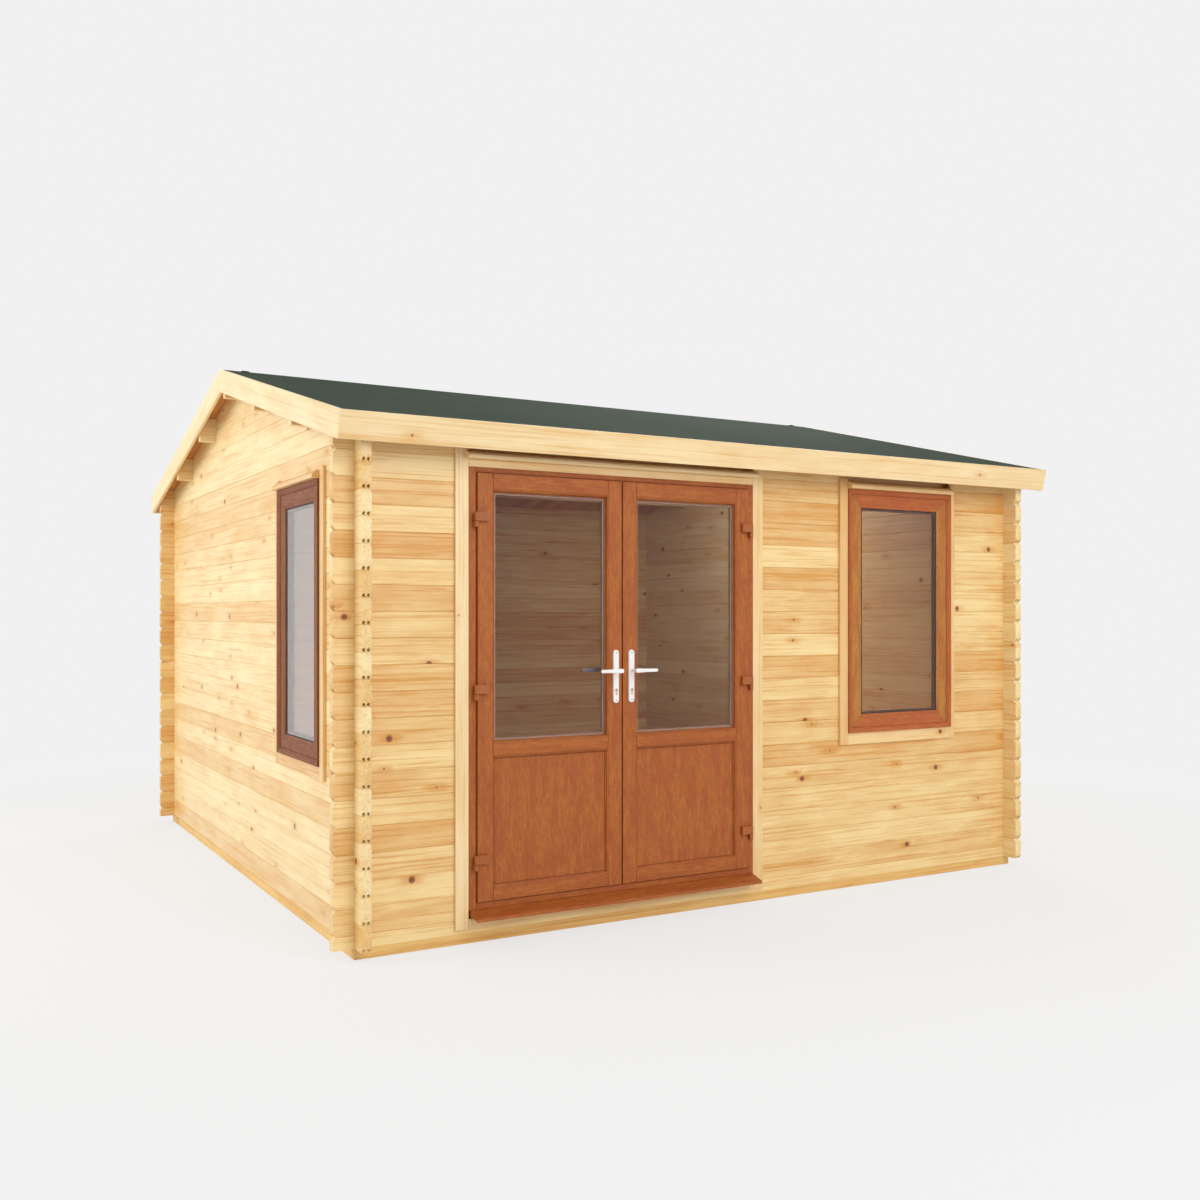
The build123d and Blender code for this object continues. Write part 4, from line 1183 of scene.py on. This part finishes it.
def build_hinges(leaf):
    """Three hinges: flags and upper knuckles on the leaf."""
    solids = Solids(FRONT)
    near, far = leaf.axis_u - leaf.sign * 0.0005, leaf.axis_u - leaf.sign * FLAG_L
    for z in HINGE_Z:
        z0, z1 = z + KNUCKLE_SEAM, z + FLAG_H
        barrel(solids, leaf.axis_u, z0, z1)
        block(solids, (near, leaf.out, z0), (far, leaf.out + FLAG_T, z1), tone=0.5)
    leaf.piece("hinge_flags", solids, [HINGE], "brown_hinge", "door_hinges", 0.0012)


def build_frame_hinges(leaves):
    """Lower knuckles on the door frame."""
    solids = Solids(FRONT)
    for leaf in leaves:
        jamb_u, far_u = leaf.hinge_u + leaf.sign * 0.005, leaf.axis_u + leaf.sign * KNUCKLE_R
        for z in HINGE_Z:
            z0, z1 = z - FRAME_KNUCKLE_H, z - KNUCKLE_SEAM
            pin_top = z + PIN_UP
            barrel(solids, leaf.axis_u, z0, z1)
            lathe(solids, [(z1 - 0.001, PIN_R), (pin_top - 0.001, PIN_R), (pin_top, PIN_R - 0.0009)],
                  (leaf.axis_u, AXIS_OUT), axis=2, sides=16)
            block(solids, (jamb_u, 0.0172, z0 + EDGE_GAP), (far_u, AXIS_OUT, z1 - EDGE_GAP), axis=2, tone=0.5)
    finish_piece("frame_hinge_knuckles", solids, [HINGE], ("door_frame_hinges",), 0.001)


def oblong(u, z0, z1, radius, out):
    """An upright outline with round ends, as a ring of points."""
    steps = 12
    points = arc(u, z0 + radius, radius, 180, 180, steps) + arc(u, z1 - radius, radius, 0, 180, steps)
    return [(a, out, b) for a, b in points]


def build_handle_plates(leaf):
    """Long plates with rounded faces on both sides of the stile, with their screws."""
    u, (z0, z1) = leaf.spindle_u, leaf.plate_z
    radius = 0.015
    screw_in, screw_r = 0.013, 0.0034
    solids = Solids(FRONT)
    for base, toward in ((leaf.out, 1), (leaf.back, -1)):
        rings = []
        for inset, rise in ((0, 0), (0, 0.0065), (0.0008, 0.0085), (0.0025, 0.0096), (0.005, PLATE_T)):
            rings.append(oblong(u, z0 + inset, z1 - inset, radius - inset, base + toward * rise))
        loft(solids, rings, axis=2, tone=0.5)
        face = base + toward * PLATE_T
        screw = [(-0.001, screw_r), (0.0004, screw_r), (0.0009, screw_r - 0.0012)]
        profile = [(face + toward * rise, r) for rise, r in screw]
        for z in (z0 + screw_in, z1 - screw_in):
            lathe(solids, profile, (z, u), axis=1, sides=18, material=1)
    leaf.piece("plates", solids, [WHITE, STEEL], "white_handle", "handle_plates")


def key_outline(u, z, radius, tail_w, drop, out):
    """The cylinder's outline: a round barrel over a narrower tail with a round end."""
    tail = tail_w / 2
    half_gap = math.degrees(math.asin(tail / radius))    # the barrel's arc is open over the tail
    points = arc(u, z, radius, half_gap - 90, 360 - 2 * half_gap, 14)
    points += arc(u, z - drop + tail, tail, 180, 180, 8)
    return [(a, out, b) for a, b in points]


def build_key_cylinder(leaf):
    """Profile cylinder through the stile, with a plug split by its key slot on the outside."""
    low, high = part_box(f"{leaf.side}_key_cylinder")
    radius, tail_w, soft = 0.0085, 0.010, 0.0006
    u, z = leaf.spindle_u, high.z - radius
    drop = z - low.z
    outer, inner = -HALF - low.y, -HALF - high.y
    rings = []
    ends = ((soft, outer - soft), (0, outer - 2 * soft), (0, inner + 2 * soft), (soft, inner + soft))
    for inset, out in ends:
        rings.append(key_outline(u, z, radius - inset, tail_w - 2 * inset, drop - inset, out))
    solids = Solids(FRONT)
    loft(solids, rings, axis=1)
    plug, slot = 0.0050, 0.0008
    for side in (-1, 1):
        half = arc(u + side * slot, z, plug, -side * 90, 180, 12)
        rings = [[(a, out, b) for a, b in half] for out in (outer - 0.0007, outer)]
        loft(solids, rings, axis=1, material=1)
    leaf.piece("lock_barrel", solids, [NICKEL, BRASS], "brass", "key_cylinder", 0.0003)


# A grip's (distance from the spindle, size) pairs, from the nub to the tip.
GRIP_L = 0.113
GRIP_NUB = -0.0094
GRIP = (
    (GRIP_NUB, 0.35), (GRIP_NUB + 0.0015, 0.72), (GRIP_NUB + 0.005, 0.94), (0.0, 1.0), (0.014, 0.98),
    (0.035, 0.86), (0.06, 0.80), (0.085, 0.78), (0.102, 0.76),
    (GRIP_L - 0.005, 0.70), (GRIP_L - 0.0015, 0.55), (GRIP_L, 0.25),
)


def build_lever(leaf):
    """Outside and inside levers: a round neck, a short nub past it and a tapering grip."""
    low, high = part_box(f"{leaf.side}_lever")
    u, z = leaf.spindle_u, leaf.spindle_z
    neck_r, waist_r, spindle_r = 0.009, 0.0078, 0.0045
    half_h = (high.z - low.z) / 2
    plates = (leaf.out + PLATE_T, leaf.back - PLATE_T)
    solids = Solids(FRONT)
    for plate, face, toward in zip(plates, (-HALF - low.y, -HALF - high.y), (1, -1)):
        profile = [(plate - toward * 0.009, neck_r), (plate + toward * 0.0008, neck_r)]
        profile += [(plate + toward * 0.004, waist_r), (face - toward * 0.011, waist_r)]
        lathe(solids, profile, (z, u), axis=1, tone=0.5)
        grip(solids, u, z, face, toward, leaf.sign, half_h)
    lathe(solids, [(plate, spindle_r) for plate in reversed(plates)], (z, u), axis=1, sides=12)
    name = f"{leaf.side}_lever"
    finish_piece(f"{name}_handles", solids, [WHITE], (name,), body=f"{name}_body")


def grip(solids, u, z, face, toward, sign, half_h):
    """A grip of superellipse sections from the nub to the tip, thinner and lower towards the tip."""
    thick, within, count = 0.012, 0.98, 20
    middle = face - toward * (thick / 2)
    rings = []
    for along, size in GRIP:
        tall = half_h * size * within
        deep = thick / 2 * min(1.0, 0.55 + 0.45 * size)
        ring = []
        for k in range(count):
            angle = 2 * math.pi * k / count
            c, s = math.cos(angle), math.sin(angle)
            across = math.copysign(abs(c) ** 0.6, c) * deep * within
            up = math.copysign(abs(s) ** 0.75, s) * tall
            ring.append((u + sign * along, middle + across, z + up))
        rings.append(ring)
    loft(solids, rings, axis=0, tone=0.5)


# ---- stage, light and camera -------------------------------------------------------------------

BACKDROP = (0.878, 0.878, 0.878, 1.0)
FLOOR_FADE = (4.0, 6.4)              # distances from the cabin's middle where the floor fades out
FLOOR_GLOW = 0.72                    # share of its shade that the near floor gives off by itself


def build_stage():
    """A plain pale floor that keeps the cabin's soft shadow and fades into the backdrop far off."""
    s = Shader("studio_floor")
    place = s.node("NewGeometry").outputs["Position"]
    from_cabin = s.length(place)
    wide = s.noise(place, 0.15, 1.0)
    plain = s.mix(s.remap(wide, 0.3, 0.7), (0.80, 0.80, 0.80, 1.0), (0.81, 0.81, 0.81, 1.0))
    paint = s.node("BsdfDiffuse", {"Color": plain})
    glow_colour = s.mix(s.remap(from_cabin, 2.0, 8.0), (0.912, 0.912, 0.912, 1.0), BACKDROP)
    glow = s.node("Emission", {"Color": glow_colour, "Strength": 1.0})
    path = s.node("LightPath").outputs
    away = s.times(s.remap(from_cabin, *FLOOR_FADE), 1.0 - FLOOR_GLOW)
    seen = s.times(path["Is Camera Ray"], s.math("ADD", away, FLOOR_GLOW))
    mirrored = s.math("MAXIMUM", path["Is Glossy Ray"], path["Is Transmission Ray"])
    shown = s.math("MAXIMUM", seen, mirrored)
    material = s.finish(s.mix_shaders(shown, paint.outputs[0], glow.outputs[0]))
    mesh = bpy.data.meshes.new("studio_floor")
    sides, level = 64, -0.0005
    points = []
    for k in range(sides):
        angle = 2 * math.pi * k / sides
        points.append((FLOOR_FADE[1] * math.cos(angle), FLOOR_FADE[1] * math.sin(angle), level))
    mesh.from_pydata(points, [], [tuple(range(sides))])
    mesh.materials.append(material)
    floor = bpy.data.objects.new("studio_floor", mesh)
    bpy.context.scene.collection.objects.link(floor)


def build_world():
    """Pale backdrop for the camera, glossy and transmitted rays; an even soft light for the rest."""
    s = Shader("studio", "World")
    path = s.node("LightPath").outputs
    seen = s.math("MAXIMUM", path["Is Camera Ray"], path["Is Glossy Ray"])
    seen = s.math("MAXIMUM", seen, path["Is Transmission Ray"])
    backdrop = s.node("Background", {"Color": BACKDROP})
    ambient = s.node("Background", {"Color": (1.0, 0.99, 0.98, 1.0), "Strength": 0.72})
    bpy.context.scene.world = s.finish(s.mix_shaders(seen, ambient.outputs[0], backdrop.outputs[0]))


def lamp(name, place, target, size, power, colour=(1.0, 1.0, 1.0)):
    """A large soft lamp that the camera doesn't see."""
    light = bpy.data.lights.new(name, "AREA")
    light.shape = "DISK"
    light.size = size
    light.energy = power
    light.color = colour
    made = bpy.data.objects.new(name, light)
    made.location = place
    made.rotation_euler = (Vector(target) - Vector(place)).to_track_quat("-Z", "Y").to_euler()
    made.visible_camera = False
    bpy.context.scene.collection.objects.link(made)


def build_lights():
    """A key from the left, a broad weaker one from the front and a weak one from behind."""
    lamp("key_left", (-8.0, 0.5, 3.6), (-1.9, 0.0, 1.2), 5.0, 228)
    lamp("key_front", (0.5, -9.0, 5.0), (0.4, -1.9, 1.2), 6.0, 260)
    lamp("back_fill", (5.5, 6.0, 4.5), (0.5, 1.0, 1.2), 5.0, 260)
    lamp("room_lamp", (1.0, 0.0, 2.35), (1.6, 0.4, 1.0), 0.8, 15, (1.0, 0.93, 0.85))


def build_camera():
    """The view from the front left, level, a little over head height's eye line."""
    data = bpy.data.cameras.new("camera")
    data.sensor_width = 36.0
    data.lens = 36.2346
    data.shift_x = -0.00082
    data.shift_y = 0.01119
    data.clip_end = 200.0
    camera = bpy.data.objects.new("camera", data)
    camera.location = (-3.6216, -6.9120, 1.4635)
    camera.rotation_euler = (math.radians(90), 0.0, math.radians(-29.976))
    bpy.context.scene.collection.objects.link(camera)
    bpy.context.scene.camera = camera


# ---- everything --------------------------------------------------------------------------------

build_walls()
build_ground_timbers()
build_floor()
build_roof_boards()
build_felt()
build_edge_boards()
build_purlins()
build_door_trims()
build_window_trims("front_window", FRONT, 0, left_w=0.055, right_w=0.034)
build_window_trims("side_window", LEFT, 1, left_w=0.055, right_w=0.055)
build_door_frame()
build_window("front_window", FRONT, 0, WINDOW_FOIL, WINDOW_RAIL_FOIL, FRONT_GLASS)
build_window("side_window", LEFT, 1, SIDE_FOIL, SIDE_FOIL, SIDE_GLASS)
leaves = (Leaf("left"), Leaf("right"))
for leaf in leaves:
    build_leaf_bars(leaf)
    build_leaf_fillings(leaf)
    build_hinges(leaf)
    build_handle_plates(leaf)
    build_key_cylinder(leaf)
    build_lever(leaf)
build_frame_hinges(leaves)
build_stage()
build_world()
build_lights()
build_camera()
bpy.context.scene.view_settings.view_transform = "Standard"
